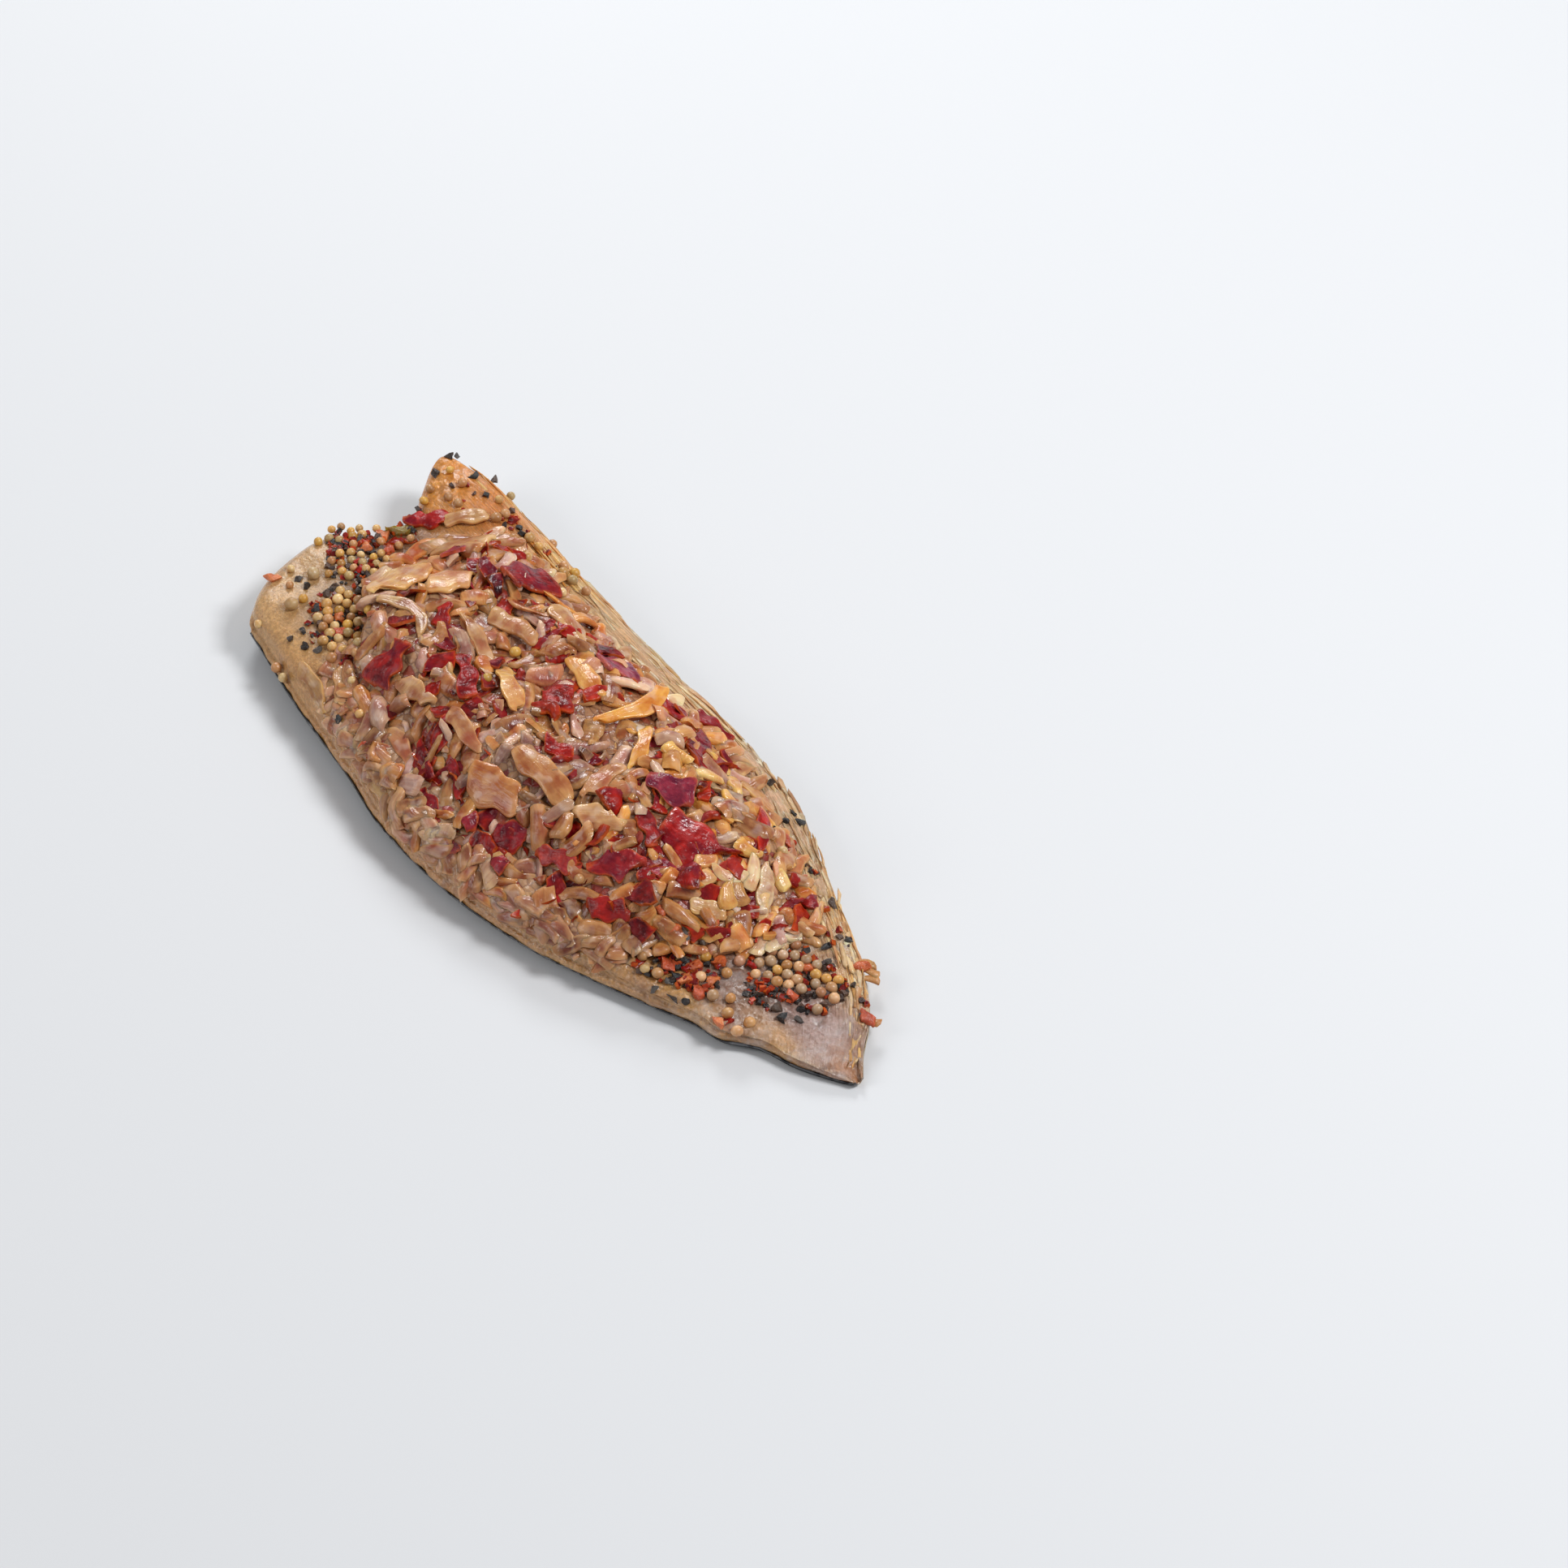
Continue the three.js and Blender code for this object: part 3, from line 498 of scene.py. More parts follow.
def fieldColours(points, fields, spread=0.9):
    # colours of several fields blended by distance
    tint, total = np.zeros((len(points), 4)), np.zeros(len(points))
    for x, y, reachX, reachY, colour in fields:
        away = ((points[:, 0] - x) / reachX) ** 2 + ((points[:, 1] - y) / reachY) ** 2
        weight = np.exp(-spread * away) + 1e-6
        tint += weight[:, None] * np.array(linear(*colour))
        total += weight
    return tint / total[:, None]


def makeFlesh(look, material):
    rows, across, side = look["cells"]
    v = 0.5 * np.linspace(0, 1, across) + 0.5 * (0.5 - 0.5 * np.cos(np.linspace(0, np.pi, across)))
    rimTurn = np.radians(np.linspace(68, -68, side))
    level = 0.5 + 0.5 * np.sin(rimTurn)
    inward = 0.35 + 1.0 * (1 - np.cos(rimTurn))
    topInward = 1.35 * (1 - smooth(np.minimum(v, 1 - v) / 0.03))
    vRing = np.concatenate([v, np.ones(side), v[::-1], np.zeros(side)])
    levelRing = np.concatenate([np.full(across, 2.0), level, np.zeros(across), level[::-1]])
    inwardRing = np.concatenate([topInward, inward, topInward[::-1], inward[::-1]])
    u = sharesAlong(rows)
    body = fishPoints(u, vRing[None], levelRing[None], inwardRing[None])
    top = ((levelRing > 1) * np.minimum(1, 40 * np.minimum(vRing, 1 - vRing)))[None]
    x, y, z = body[..., 0], body[..., 1], body[..., 2]
    ridges = cloud(np.stack([x * 0.12, y * 1.25, z], -1), 1.1, 3) * look["fibreDepth"] * fibreShare(body)
    seams = np.abs(((x + 0.55 * np.abs(y - 4) + 0.7 * cloud(body, 9, 5)) / 5.2) % 1 - 0.5)
    cuts = -0.35 * np.exp(-((seams / 0.07) ** 2)) * smooth((x - 30) / 30)
    lumps = look["lumpDepth"] * cloud(body, 6.5, 1) + 0.16 * cloud(body, 2.2, 2)
    body[..., 2] += (ridges + cuts + lumps) * top * smooth(np.minimum(u, 1 - u) * 60)
    body[..., 2] += (0.45 * (levelRing == 0))[None]
    body[..., 1] += 0.3 * cloud(body, 3.2, 8) * (levelRing <= 1)
    verts, faces = closedLoft(body, across, side)
    capInner = np.arange(len(verts)) >= rows * len(vRing)
    verts[capInner, 0] += 0.4 * cloud(verts[capInner], 2.4, 11)
    tint = fieldColours(verts, look["fields"])
    x, y = verts[:, 0], verts[:, 1]
    wet = np.maximum(smooth((x - 52) / 16), smooth((0.2 - shareAcross(x, y)) / 0.12) * smooth((x + 60) / 20))
    wet = np.maximum(wet, np.maximum(smooth((-80 - x) / 8) * smooth((y - 12) / 6), 0.5 * smooth((-78 - x) / 10)))
    flow = np.stack([x, curveAt(fish["bellyEdge"], x) - y, verts[:, 2]], -1) * mm
    # the last value marks the tail, where pale patches of painted sheen go
    values = {"tint": tint, "fibre": fibreShare(verts), "wet": wet, "flow": flow, "tailSheen": smooth((x - 56) / 12)}
    standFor(addPiece("flesh", verts, faces, material, values), "fillet")


skinLook = {
    "cells": (240, 70, 10),
    "thick": 0.5,
    "top": [(-100, 0.66), (-60, 0.5), (-20, 0.38), (40, 0.3), (75, 0.3), (100, 0.34)],  # share of the rim covered
}


def makeSkin(look, material):
    rows, across, side = look["cells"]
    u = sharesAlong(rows)
    under = np.linspace(0, 1, across)[1:-1]
    rise = np.linspace(1, 0, side + 1)
    v = np.concatenate([np.zeros(side + 1), under, np.ones(side + 1)])
    along = -92 + 192 * u
    ragged = cloud(np.concatenate([along, 0 * along, 0 * along], 1), 5.0, 21)[:, None]
    ragged = 0.13 * ragged + 0.1 * cloud(np.concatenate([along, 0 * along, 0 * along], 1), 1.6, 22)[:, None]
    cover = np.clip(curveAt(look["top"], along) + ragged, 0.14, 1)
    level = np.concatenate([cover * rise, np.zeros((rows, len(under))), cover * rise[::-1]], 1)
    foot = np.minimum(1, level / 0.5)
    inward = 0.9 * (1 - np.sqrt(1 - (1 - foot) ** 2)) * ((v == 0) | (v == 1))
    outer = fishPoints(u, v[None], level, inward)
    inner = outer.copy()
    inner[..., 1] += np.where(v < 0.5, 1.0, -1.0)[None] * look["thick"] * np.minimum(1, 2 * level)
    inner[..., 2] += look["thick"] * (1 - foot * ((v == 0) | (v == 1)))
    shell = np.concatenate([inner, outer[:, ::-1]], 1)
    verts, faces = closedLoft(shell, len(v), 0)
    shareV = np.clip(shareAcross(verts[:, 0], verts[:, 1]), 0, 1)
    standFor(addPiece("skin", verts, faces, material, {"across": shareV}), "fillet")


makeFlesh(fleshLook, makeFleshMaterial())
makeSkin(skinLook, makeSkinMaterial())
print("flesh and skin made")


# relish: the finely chopped bed that the larger cuts lie in
bedLook = {
    "cells": (230, 110, 3),
    "fields": [
        (-66, -4, 12, 14, (176, 134, 96)),
        (-60, 20, 14, 9, (186, 140, 104)),
        (-40, -22, 16, 10, (168, 124, 92)),
        (-30, 4, 20, 14, (170, 116, 84)),
        (-10, -28, 22, 9, (170, 130, 94)),
        (0, 10, 20, 14, (168, 112, 74)),
        (20, -16, 18, 14, (168, 124, 92)),
        (40, 8, 14, 16, (178, 124, 82)),
        (30, 28, 20, 8, (176, 128, 88)),
        (54, 18, 10, 9, (190, 140, 96)),
    ],
}


def bedTop(x, y):
    over = np.maximum(heapOver(x, y) - heap["sink"], heap["edge"])
    toBack, toBelly = y - curveAt(heap["back"], x), curveAt(heap["belly"], x) - y
    toEnds = np.minimum(x - heap["ends"][0], heap["ends"][1] - x)
    edge = np.minimum(np.minimum(toBack, toBelly), toEnds)
    return fleshTop(x, y) + over * np.sqrt(np.clip(edge / 2.6, 0.0, 1))


def makeBedMaterial():
    material, tree, shader = newMaterial("choppedRelish", 0.34, 0.3, (1.0, 0.5, 0.25), 0.003, 0.35, 0.15)
    place = objectPoints(tree)
    tint = stored(tree, "tint", "Color")
    bits = addNode(tree, "ShaderNodeTexVoronoi", {"Vector": place, "Scale": 460.0})
    edges = addNode(tree, "ShaderNodeTexVoronoi", {"Vector": place, "Scale": 460.0}, feature="DISTANCE_TO_EDGE")
    shade = addNode(tree, "ShaderNodeSeparateColor", {"Color": bits.outputs["Color"]})
    toned = mixColour(tree, between(tree, shade.outputs[0], 0, 1, 0.0, 0.4), tint, linear(206, 160, 116))
    toned = mixColour(tree, between(tree, shade.outputs[1], 0.0, 0.45, 0.75, 0), toned, linear(120, 66, 42))
    toned = mixColour(tree, between(tree, shade.outputs[2], 0.74, 0.8, 0, 0.9), toned, linear(146, 30, 22))
    # painted shade: darker red-brown where the chopped bits meet, standing in for the shadow in the gaps
    toned = mixColour(tree, between(tree, edges.outputs["Distance"], 0.0, 0.12, 0.55, 0), toned, linear(86, 36, 22))
    tree.links.new(toned, shader.inputs["Base Color"])
    fine = grain(tree, place, 1200, 3, 0.6)
    setBump(tree, shader, plus(tree, edges.outputs["Distance"], times(tree, fine, 0.3)), 0.0008, 0.8)
    return material


def makeBed(look, material):
    rows, across, side = look["cells"]
    t = sharesAlong(rows)
    x = heap["ends"][0] + (heap["ends"][1] - heap["ends"][0]) * t + 0 * np.zeros((1, across))
    back, belly = curveAt(heap["back"], x), curveAt(heap["belly"], x)
    w = np.linspace(0, 1, across)[None]
    w = 0.6 * w + 0.4 * (0.5 - 0.5 * np.cos(np.pi * w))
    y = back + (belly - back) * w
    flat = np.stack([x, y, 0 * x], -1)
    lumps = 0.4 * cloud(flat, 2.6, 31) + 0.3 * cloud(flat, 1.5, 32)
    upper = np.stack([x, y, bedTop(x, y) + lumps * smooth(np.minimum(w, 1 - w) * 14)], -1)
    lower = np.stack([x, y, fleshTop(x, y) - 2.0], -1)
    steps = np.linspace(0, 1, side + 2)[1:-1][None, :, None]
    right = upper[:, -1:] + (lower[:, -1:] - upper[:, -1:]) * steps
    left = lower[:, :1] + (upper[:, :1] - lower[:, :1]) * steps
    rings = np.concatenate([upper, right, lower[:, ::-1], left], 1)
    verts, faces = closedLoft(rings, across, side)
    piece = addPiece("relish_bed", verts, faces, material, {"tint": fieldColours(verts, look["fields"], 0.7)})
    standFor(piece, "relish")


makeBed(bedLook, makeBedMaterial())
print("relish bed made")


def makeCutMaterial(name, look):
    # soft cooked vegetable: its own tint, fine veins, thin edges in a warmer outline colour and lightened by painted
    # light shining through them, pale patches of painted sheen, and a wet coat
    material, tree, shader = newMaterial(
        name, look["roughness"], look["subsurface"], look["radius"], look["depth"], look["coat"], look["coatRoughness"])
    tint = stored(tree, "tint", "Color")
    local = addNode(tree, "ShaderNodeSeparateXYZ", {0: stored(tree, "local", "Vector")})
    size = addNode(tree, "ShaderNodeSeparateXYZ", {0: stored(tree, "size", "Vector")})
    along = times(tree, local.outputs[0], size.outputs[0])
    across = times(tree, local.outputs[1], size.outputs[1])
    cross = stored(tree, "cross")
    place = objectPoints(tree)
    swapped = mixColour(tree, cross, addNode(tree, "ShaderNodeCombineXYZ", {0: along, 1: across}).outputs[0],
                        addNode(tree, "ShaderNodeCombineXYZ", {0: across, 1: along}).outputs[0])
    stretched = addNode(tree, "ShaderNodeMapping", {"Vector": swapped, "Scale": look["veins"]}).outputs["Vector"]
    shifted = addNode(tree, "ShaderNodeVectorMath", {0: stretched, 1: tinted(tree, tint, (40, 40, 40))})
    veins = grain(tree, shifted.outputs["Vector"], 1.0, 2, 0.5, 0.35)
    fine = grain(tree, place, 1000, 2, 0.5)
    broad = grain(tree, place, look["patches"], 2, 0.5, 0.4)
    fold = grain(tree, place, look["folds"], 1, 0.4, 0.3)
    juice = grain(tree, place, 110, 2, 0.5, 0.6)
    shader.inputs["Specular IOR Level"].default_value = look["specular"]
    shader.inputs["Transmission Weight"].default_value = look["clear"]
    shader.inputs["IOR"].default_value = 1.38
    deep = mixColour(tree, 1.0, tint, look["deep"], "MULTIPLY")
    light = mixColour(tree, look["lightShare"], tint, look["light"])
    colour = mixColour(tree, between(tree, broad, 0.36, 0.64), deep, light)
    colour = mixColour(tree, between(tree, veins, 0.4, 0.6, look["veinShade"], 0), colour, deep)
    colour = mixColour(tree, between(tree, juice, 0.5, 0.66, 0, look["stainShare"]), colour, look["stain"])
    # painted sheen: pale patches where the fold noise is high stand in for wet reflections
    colour = mixColour(tree, between(tree, fold, 0.54, 0.68, 0, look["sheenShare"]), colour, look["sheenTint"])
    toEdge = calc(tree, "MAXIMUM", calc(tree, "ABSOLUTE", local.outputs[0]), calc(tree, "ABSOLUTE", local.outputs[1]))
    folded = between(tree, fold, 0.35, 0.6, 0.2, look["edgeShare"])
    thin = times(tree, between(tree, toEdge, look["edgeFrom"], 1.0), folded)
    # thin edges: partly an outline colour of their own, partly a lightened tint that is painted light shining through
    # the thin edge
    rim = mixColour(tree, look["paintedEdgeLightShare"], look["edge"], tinted(tree, tint, (1.4, 1.34, 1.1)))
    tree.links.new(mixColour(tree, thin, colour, rim), shader.inputs["Base Color"])
    tree.links.new(between(tree, broad, 0.3, 0.7, look["roughness"] - 0.06, look["roughness"] + 0.1),
                   shader.inputs["Roughness"])
    height = plus(tree, times(tree, veins, look["veinDepth"]), times(tree, fine, look["wrinkle"]))
    height = plus(tree, height, times(tree, fold, look["fold"]))
    setBump(tree, shader, height, 0.001, 0.8)
    return material


onionLook = {
    "roughness": 0.34, "subsurface": 0.5, "radius": (1.0, 0.72, 0.42), "depth": 0.0013, "coat": 0.42,
    "coatRoughness": 0.1,
    "veins": (110, 1100, 1), "veinShade": 0.3, "veinDepth": 0.27, "patches": 240.0, "folds": 330.0,
    "deep": (0.7, 0.42, 0.34, 1), "light": (0.96, 0.6, 0.22, 1), "lightShare": 0.26,
    # the last share on the next line is how much painted light lightens the thin edges
    "edge": (0.9, 0.56, 0.2, 1), "edgeFrom": 0.62, "edgeShare": 0.56, "paintedEdgeLightShare": 0.55,
    # the pale patch colour and share on this line are painted sheen, standing in for wet reflections
    "stain": (0.5, 0.09, 0.055, 1), "stainShare": 0.3, "sheenTint": (0.9, 0.72, 0.6, 1), "sheenShare": 0.25,
    "wrinkle": 0.16, "fold": 0.24, "specular": 0.5, "clear": 0.08,
    "thick": 1.0, "square": 0.3, "rough": 0.24, "boxy": 0.2, "crease": 0.24, "ends": 16, "dome": 0.55,
    "cells": (34, 28),
}
pepperLook = {
    "roughness": 0.27, "subsurface": 0.1, "radius": (1.0, 0.14, 0.06), "depth": 0.0012, "coat": 0.0,
    "coatRoughness": 0.12,
    "veins": (320, 1300, 1), "veinShade": 0.4, "veinDepth": 0.22, "patches": 330.0, "folds": 460.0,
    "deep": (0.45, 0.16, 0.26, 1), "light": (0.66, 0.02, 0.006, 1), "lightShare": 0.45,
    # the last share on the next line is how much painted light lightens the thin edges
    "edge": (0.72, 0.14, 0.012, 1), "edgeFrom": 0.84, "edgeShare": 0.7, "paintedEdgeLightShare": 0.2,
    # the pale patch colour and share on this line are painted sheen, standing in for wet reflections
    "stain": (0.16, 0.006, 0.03, 1), "stainShare": 0.45, "sheenTint": (0.55, 0.13, 0.14, 1), "sheenShare": 0.12,
    "wrinkle": 0.2, "fold": 0.55, "specular": 0.42, "clear": 0.12,
    "thick": 0.9, "square": 0.26, "rough": 0.34, "boxy": 0.16, "crease": 0.4, "ends": 24, "dome": 0.9,
    "cells": (38, 30),
}
onionFlesh = makeCutMaterial("cookedOnion", onionLook)
pepperFlesh = makeCutMaterial("roastPepper", pepperLook)

# the large cuts: place and turn in plan, then length and width in mm; arch bows the length,
# cup bows the width, bend curves it sideways, tilt rolls it; cross puts the ribs across
largeCuts = {
    "onion_petal_a": {"at": (-68.5, -2.5, -62), "size": (16, 10.5), "cup": 1.4, "point": 0.3, "lift": 0.7,
        "tint": (218, 166, 92)},
    "onion_petal_b": {"at": (-58.8, 4.8, 70), "size": (10.5, 8), "cup": 1.6, "lift": 0.8, "tint": (224, 174, 112)},
    "onion_head_a": {"at": (-76, 6.4, 22), "size": (9, 4.2), "cup": 0.5, "tint": (196, 152, 104)},
    "onion_head_b": {"at": (-72, 16, 42), "size": (15, 6), "cup": 1, "arch": 0.8, "tint": (198, 150, 100)},
    "onion_head_c": {"at": (-81, 22.2, 66), "size": (10.5, 4), "arch": 0.5, "tint": (186, 140, 92)},
    "onion_hook": {"at": (-54.5, -11.5, 4), "size": (17, 3), "bend": 4.2, "tint": (182, 146, 104)},
    "onion_ridge": {"at": (-21.5, -3.2, -21), "size": (16, 4.6), "arch": 1.6, "cross": 1, "tint": (232, 182, 104)},
    "onion_arc": {"at": (-3.6, 17, -83), "size": (20, 3.8), "bend": 2.6, "arch": 1, "tint": (240, 164, 36)},
    "onion_slice": {"at": (-0.4, -20.4, 17), "size": (14.5, 8.6), "cup": 1.5, "tint": (192, 118, 58)},
    "onion_long": {"at": (5, -11.2, 3), "size": (19, 5.8), "cup": 0.9, "arch": 0.8, "tint": (190, 128, 74)},
    "onion_mid_a": {"at": (12.8, -1, -68), "size": (11, 5), "cup": 0.8, "tint": (190, 130, 88)},
    "onion_mid_b": {"at": (8, 11.5, -47), "size": (12.5, 3.2), "arch": 1, "bend": 1, "tint": (240, 176, 64)},
    "onion_mid_c": {"at": (-15.4, 13.2, -8), "size": (14, 4.6), "cup": 0.8, "tint": (232, 166, 74)},
    "onion_mid_d": {"at": (21.5, -7.5, 50), "size": (9, 6.4), "cup": 0.8, "tilt": 10, "tint": (206, 158, 110)},
    "onion_tail_a": {"at": (52.2, 15, -34), "size": (10.5, 3.6), "tilt": -8, "cross": 1, "tint": (230, 208, 172)},
    "onion_tail_b": {"at": (51, 1.2, 39), "size": (8.4, 3.6), "tilt": 6, "tint": (224, 186, 126)},
    "onion_back_a": {"at": (-56.2, -33.6, -10), "size": (13.5, 3.6), "bend": 0.8, "tint": (176, 138, 88)},
    "onion_back_b": {"at": (-51.4, -28.6, -26), "size": (10.5, 3.6), "tilt": -6, "tint": (184, 138, 96)},
    "onion_back_c": {"at": (-34, -19.4, 7), "size": (10.5, 4.6), "cup": 0.5, "cross": 1, "tint": (190, 140, 98)},
    "onion_back_d": {"at": (-19.4, -36.2, 6), "size": (11.5, 3.8), "tilt": 8, "tint": (184, 146, 96)},
    "onion_back_e": {"at": (-39.4, -0.6, -8), "size": (13.5, 3.4), "arch": 1, "tint": (190, 146, 104)},
    "onion_back_f": {"at": (-38.4, 8.8, 18), "size": (13.5, 4.8), "cup": 1, "cross": 1, "tint": (198, 154, 108)},
    "onion_back_g": {"at": (18.4, -30, 22), "size": (10.4, 5), "cup": 0.7, "tint": (182, 144, 104)},
    "onion_back_h": {"at": (4.4, -31.4, 14), "size": (11.4, 4.4), "tilt": 8, "tint": (186, 146, 102)},
    "onion_back_i": {"at": (38.6, -23.6, -4), "size": (11, 3.6), "bend": 0.8, "tint": (206, 156, 86)},
    "onion_back_j": {"at": (-17, -17.4, -2), "size": (13.5, 3.6), "arch": 1, "tint": (190, 132, 92)},
    "onion_back_k": {"at": (-27, -28.6, -5), "size": (13.5, 3.6), "bend": 1, "tint": (196, 138, 96)},
    "onion_belly_a": {"at": (-33, 20, -12), "size": (14, 5.4), "cup": 1.1, "tint": (204, 158, 104)},
    "onion_belly_b": {"at": (27.5, 29.5, 20), "size": (10.5, 4), "bend": 0.8, "tint": (208, 160, 92)},
    "pepper_head": {"at": (-86.6, 15.4, 39), "size": (9, 4.8), "cup": 0.6, "tint": (186, 34, 38)},
    "pepper_crimson": {"at": (-50.3, 20.4, 82), "size": (12.5, 10), "cup": 1.2, "tint": (134, 18, 38)},
    "pepper_red_a": {"at": (-44.8, -19.4, -80), "size": (12, 7.4), "arch": 1, "tint": (150, 22, 34)},
    "pepper_red_b": {"at": (-49.6, -2.8, -40), "size": (9, 4.6), "tilt": 12, "tint": (176, 34, 30)},
    "pepper_red_c": {"at": (-29.8, -9, -24), "size": (15, 5), "arch": 0.8, "tint": (152, 18, 30)},
    "pepper_dark_a": {"at": (-14, 5.2, -85), "size": (9.5, 8), "cup": 0.8, "tint": (160, 32, 24)},
    # its mauve tint is partly painted sheen, the bluish-white wet reflection laid into the red
    "pepper_pink": {"at": (-16.6, 22.2, 80), "size": (10, 7.4), "cup": 0.8, "tint": (176, 112, 132)},
    "pepper_strip_a": {"at": (-9.6, -31.6, -4), "size": (10.3, 3.6), "arch": 0.5, "tint": (132, 30, 50)},
    "pepper_strip_b": {"at": (-10.4, -24.6, -24), "size": (10.5, 3), "bend": 1, "tint": (150, 34, 40)},
    "pepper_chunk": {"at": (10.4, -23.4, 50), "size": (8.4, 6.4), "cup": 0.6, "tint": (126, 22, 38)},
    "pepper_red_d": {"at": (22.6, -18.6, 40), "size": (10, 4.6), "arch": 0.6, "tint": (204, 86, 74)},
    "pepper_red_e": {"at": (33, -10.4, 50), "size": (9, 5.8), "cup": 0.6, "tint": (168, 50, 58)},
    "pepper_red_f": {"at": (39, -16.4, 52), "size": (9, 5.4), "cup": 0.6, "tint": (168, 34, 36)},
    "pepper_big": {"at": (37, 9, 31), "size": (19, 11), "cup": 2, "tilt": 8, "bend": -1.6, "point": 0.95,
        "tint": (190, 12, 20)},
    # its mauve tint is partly painted sheen, the bluish-white wet reflection laid into the red
    "pepper_purple": {"at": (22.6, 10.4, 8), "size": (11, 5.6), "arch": 1, "tilt": 10, "tint": (150, 66, 96)},
    "pepper_dark_b": {"at": (28.6, 0.6, -10), "size": (9.5, 4.8), "cup": 0.6, "tint": (154, 40, 44)},
    "pepper_dark_c": {"at": (11.6, 24.6, -58), "size": (12, 5.4), "cup": 0.8, "tint": (118, 28, 42)},
    "pepper_edge": {"at": (4, 33.4, 14), "size": (11.5, 4), "arch": 0.5, "tint": (176, 40, 28)},
    "pepper_orange": {"at": (46.4, 9.6, 86), "size": (9, 3), "arch": 0.6, "tint": (214, 84, 34)},
    "pepper_tail": {"at": (57.6, 20.4, 70), "size": (9, 4), "cup": 0.5, "tint": (150, 30, 38)},
}
highest = 25.9  # mm, the top of the heap


def localAxes(x, y, turn, tilt, ground):
    # forward, side and up of a cut that lies on the slope of the ground
    reach = 3.0
    slopeX = (ground(x + reach, y) - ground(x - reach, y)) / (2 * reach)
    slopeY = (ground(x, y + reach) - ground(x, y - reach)) / (2 * reach)
    up = Vector((-float(slopeX), -float(slopeY), 1)).normalized()
    forward = Vector((math.cos(math.radians(turn)), math.sin(math.radians(turn)), 0))
    forward = (forward - up * forward.dot(up)).normalized()
    axes = Matrix((forward, up.cross(forward), up)).transposed()
    return axes @ Matrix.Rotation(math.radians(tilt), 3, "X")


def onFlesh(x, y):
    return fleshTop(x, y) + 0.3


def makeLargeCut(name, cut, look, material, seed):
    along, around = look["cells"]
    atX, atY, atTurn = cut["at"]
    length, width = cut["size"]
    thick = look["thick"]
    rng = np.random.default_rng(seed)
    wave = rng.uniform(-1, 1, 6)
    s = 0.5 * np.sin(np.linspace(-np.pi / 2, np.pi / 2, along)) + 0.5 * np.linspace(-1, 1, along)
    turn = np.linspace(0, 2 * np.pi, around, endpoint=False)
    t = np.sign(np.cos(turn)) * np.abs(np.cos(turn)) ** look["boxy"]
    h = np.sign(np.sin(turn)) * np.abs(np.sin(turn)) ** look["square"]
    close = (1 - np.abs(s) ** cut.get("ends", look["ends"])) ** 0.4
    taper = 1 - cut.get("point", 0) * np.clip(0.6 * s + 0.4, 0, 1) + cut.get("flare", 0) * s
    outline = taper + look["rough"] * (wave[0] * np.sin(2.2 * s + 3 * wave[1]) + 0.5 * np.sin(6 * s + 3 * wave[2]))
    half = 0.5 * width * (1 - 0.22 * np.abs(s) ** 3) * outline * (0.1 + 0.9 * close)
    s2, t2 = s[:, None], t[None]
    x = 0.5 * length * s2 + 0.34 * width * wave[3] * t2 * s2**2 + 0.12 * width * wave[4] * t2
    y = half[:, None] * t2 * (1 + look["rough"] * wave[5] * t2 * np.sin(3.4 * s2 + 3 * wave[1]))
    z = 0.5 * thick * (close[:, None] * 0.92 + 0.08) * h[None] * (1 - 0.22 * t2**2)
    points = np.stack([x + 0 * t2, y, z], -1)
    drift = cloud(points, 3.4, seed) * look["crease"] + cloud(points, 1.5, seed + 1) * look["crease"] * 0.45
    flat = np.concatenate([points[..., :2], 0 * points[..., :1]], -1)
    fold = cloud(flat, 2.4, seed + 2) * look["crease"] * 1.2
    rise = cut.get("arch", 0) * (1 - s2**2) + look["dome"] * cut.get("cup", 0) * (1 - t2**2)
    points[..., 1] += cut.get("bend", 0) * (1 - s2**2) + drift
    points[..., 2] += rise + fold + 0.5 * drift
    ground = heapTop if insideHeap(atX, atY) else onFlesh
    axes = np.array(localAxes(atX, atY, atTurn, cut.get("tilt", 0), ground))
    origin = np.array([atX, atY, float(ground(atX, atY)) + cut.get("lift", 0.45)])
    verts = points.reshape(-1, 3) @ axes.T + origin
    verts[:, 2] -= max(0, verts[:, 2].max() - highest)
    ids = np.arange(along * around).reshape(along, around)
    nextIds = np.roll(ids, -1, axis=1)
    faces = np.stack([ids[:-1], nextIds[:-1], nextIds[1:], ids[1:]], -1).reshape(-1, 4).tolist()
    faces += [ids[0][::-1].tolist(), ids[-1].tolist()]
    count = len(verts)
    values = {
        "tint": np.tile(linear(*cut["tint"]), (count, 1)),
        "local": np.stack([np.repeat(s, around), np.tile(t, along), np.tile(h, along)], -1),
        "size": np.tile((length * mm / 2, width * mm / 2, thick * mm / 2), (count, 1)),
        "cross": np.full(count, float(cut.get("cross", 0))),
    }
    standFor(addPiece(name + "_cut", verts, faces, material, values), name)


for number, (name, cut) in enumerate(largeCuts.items()):
    look, material = (onionLook, onionFlesh) if name.startswith("onion") else (pepperLook, pepperFlesh)
    makeLargeCut(name, cut, look, material, 200 + 7 * number)
print("large cuts laid:", len(largeCuts))


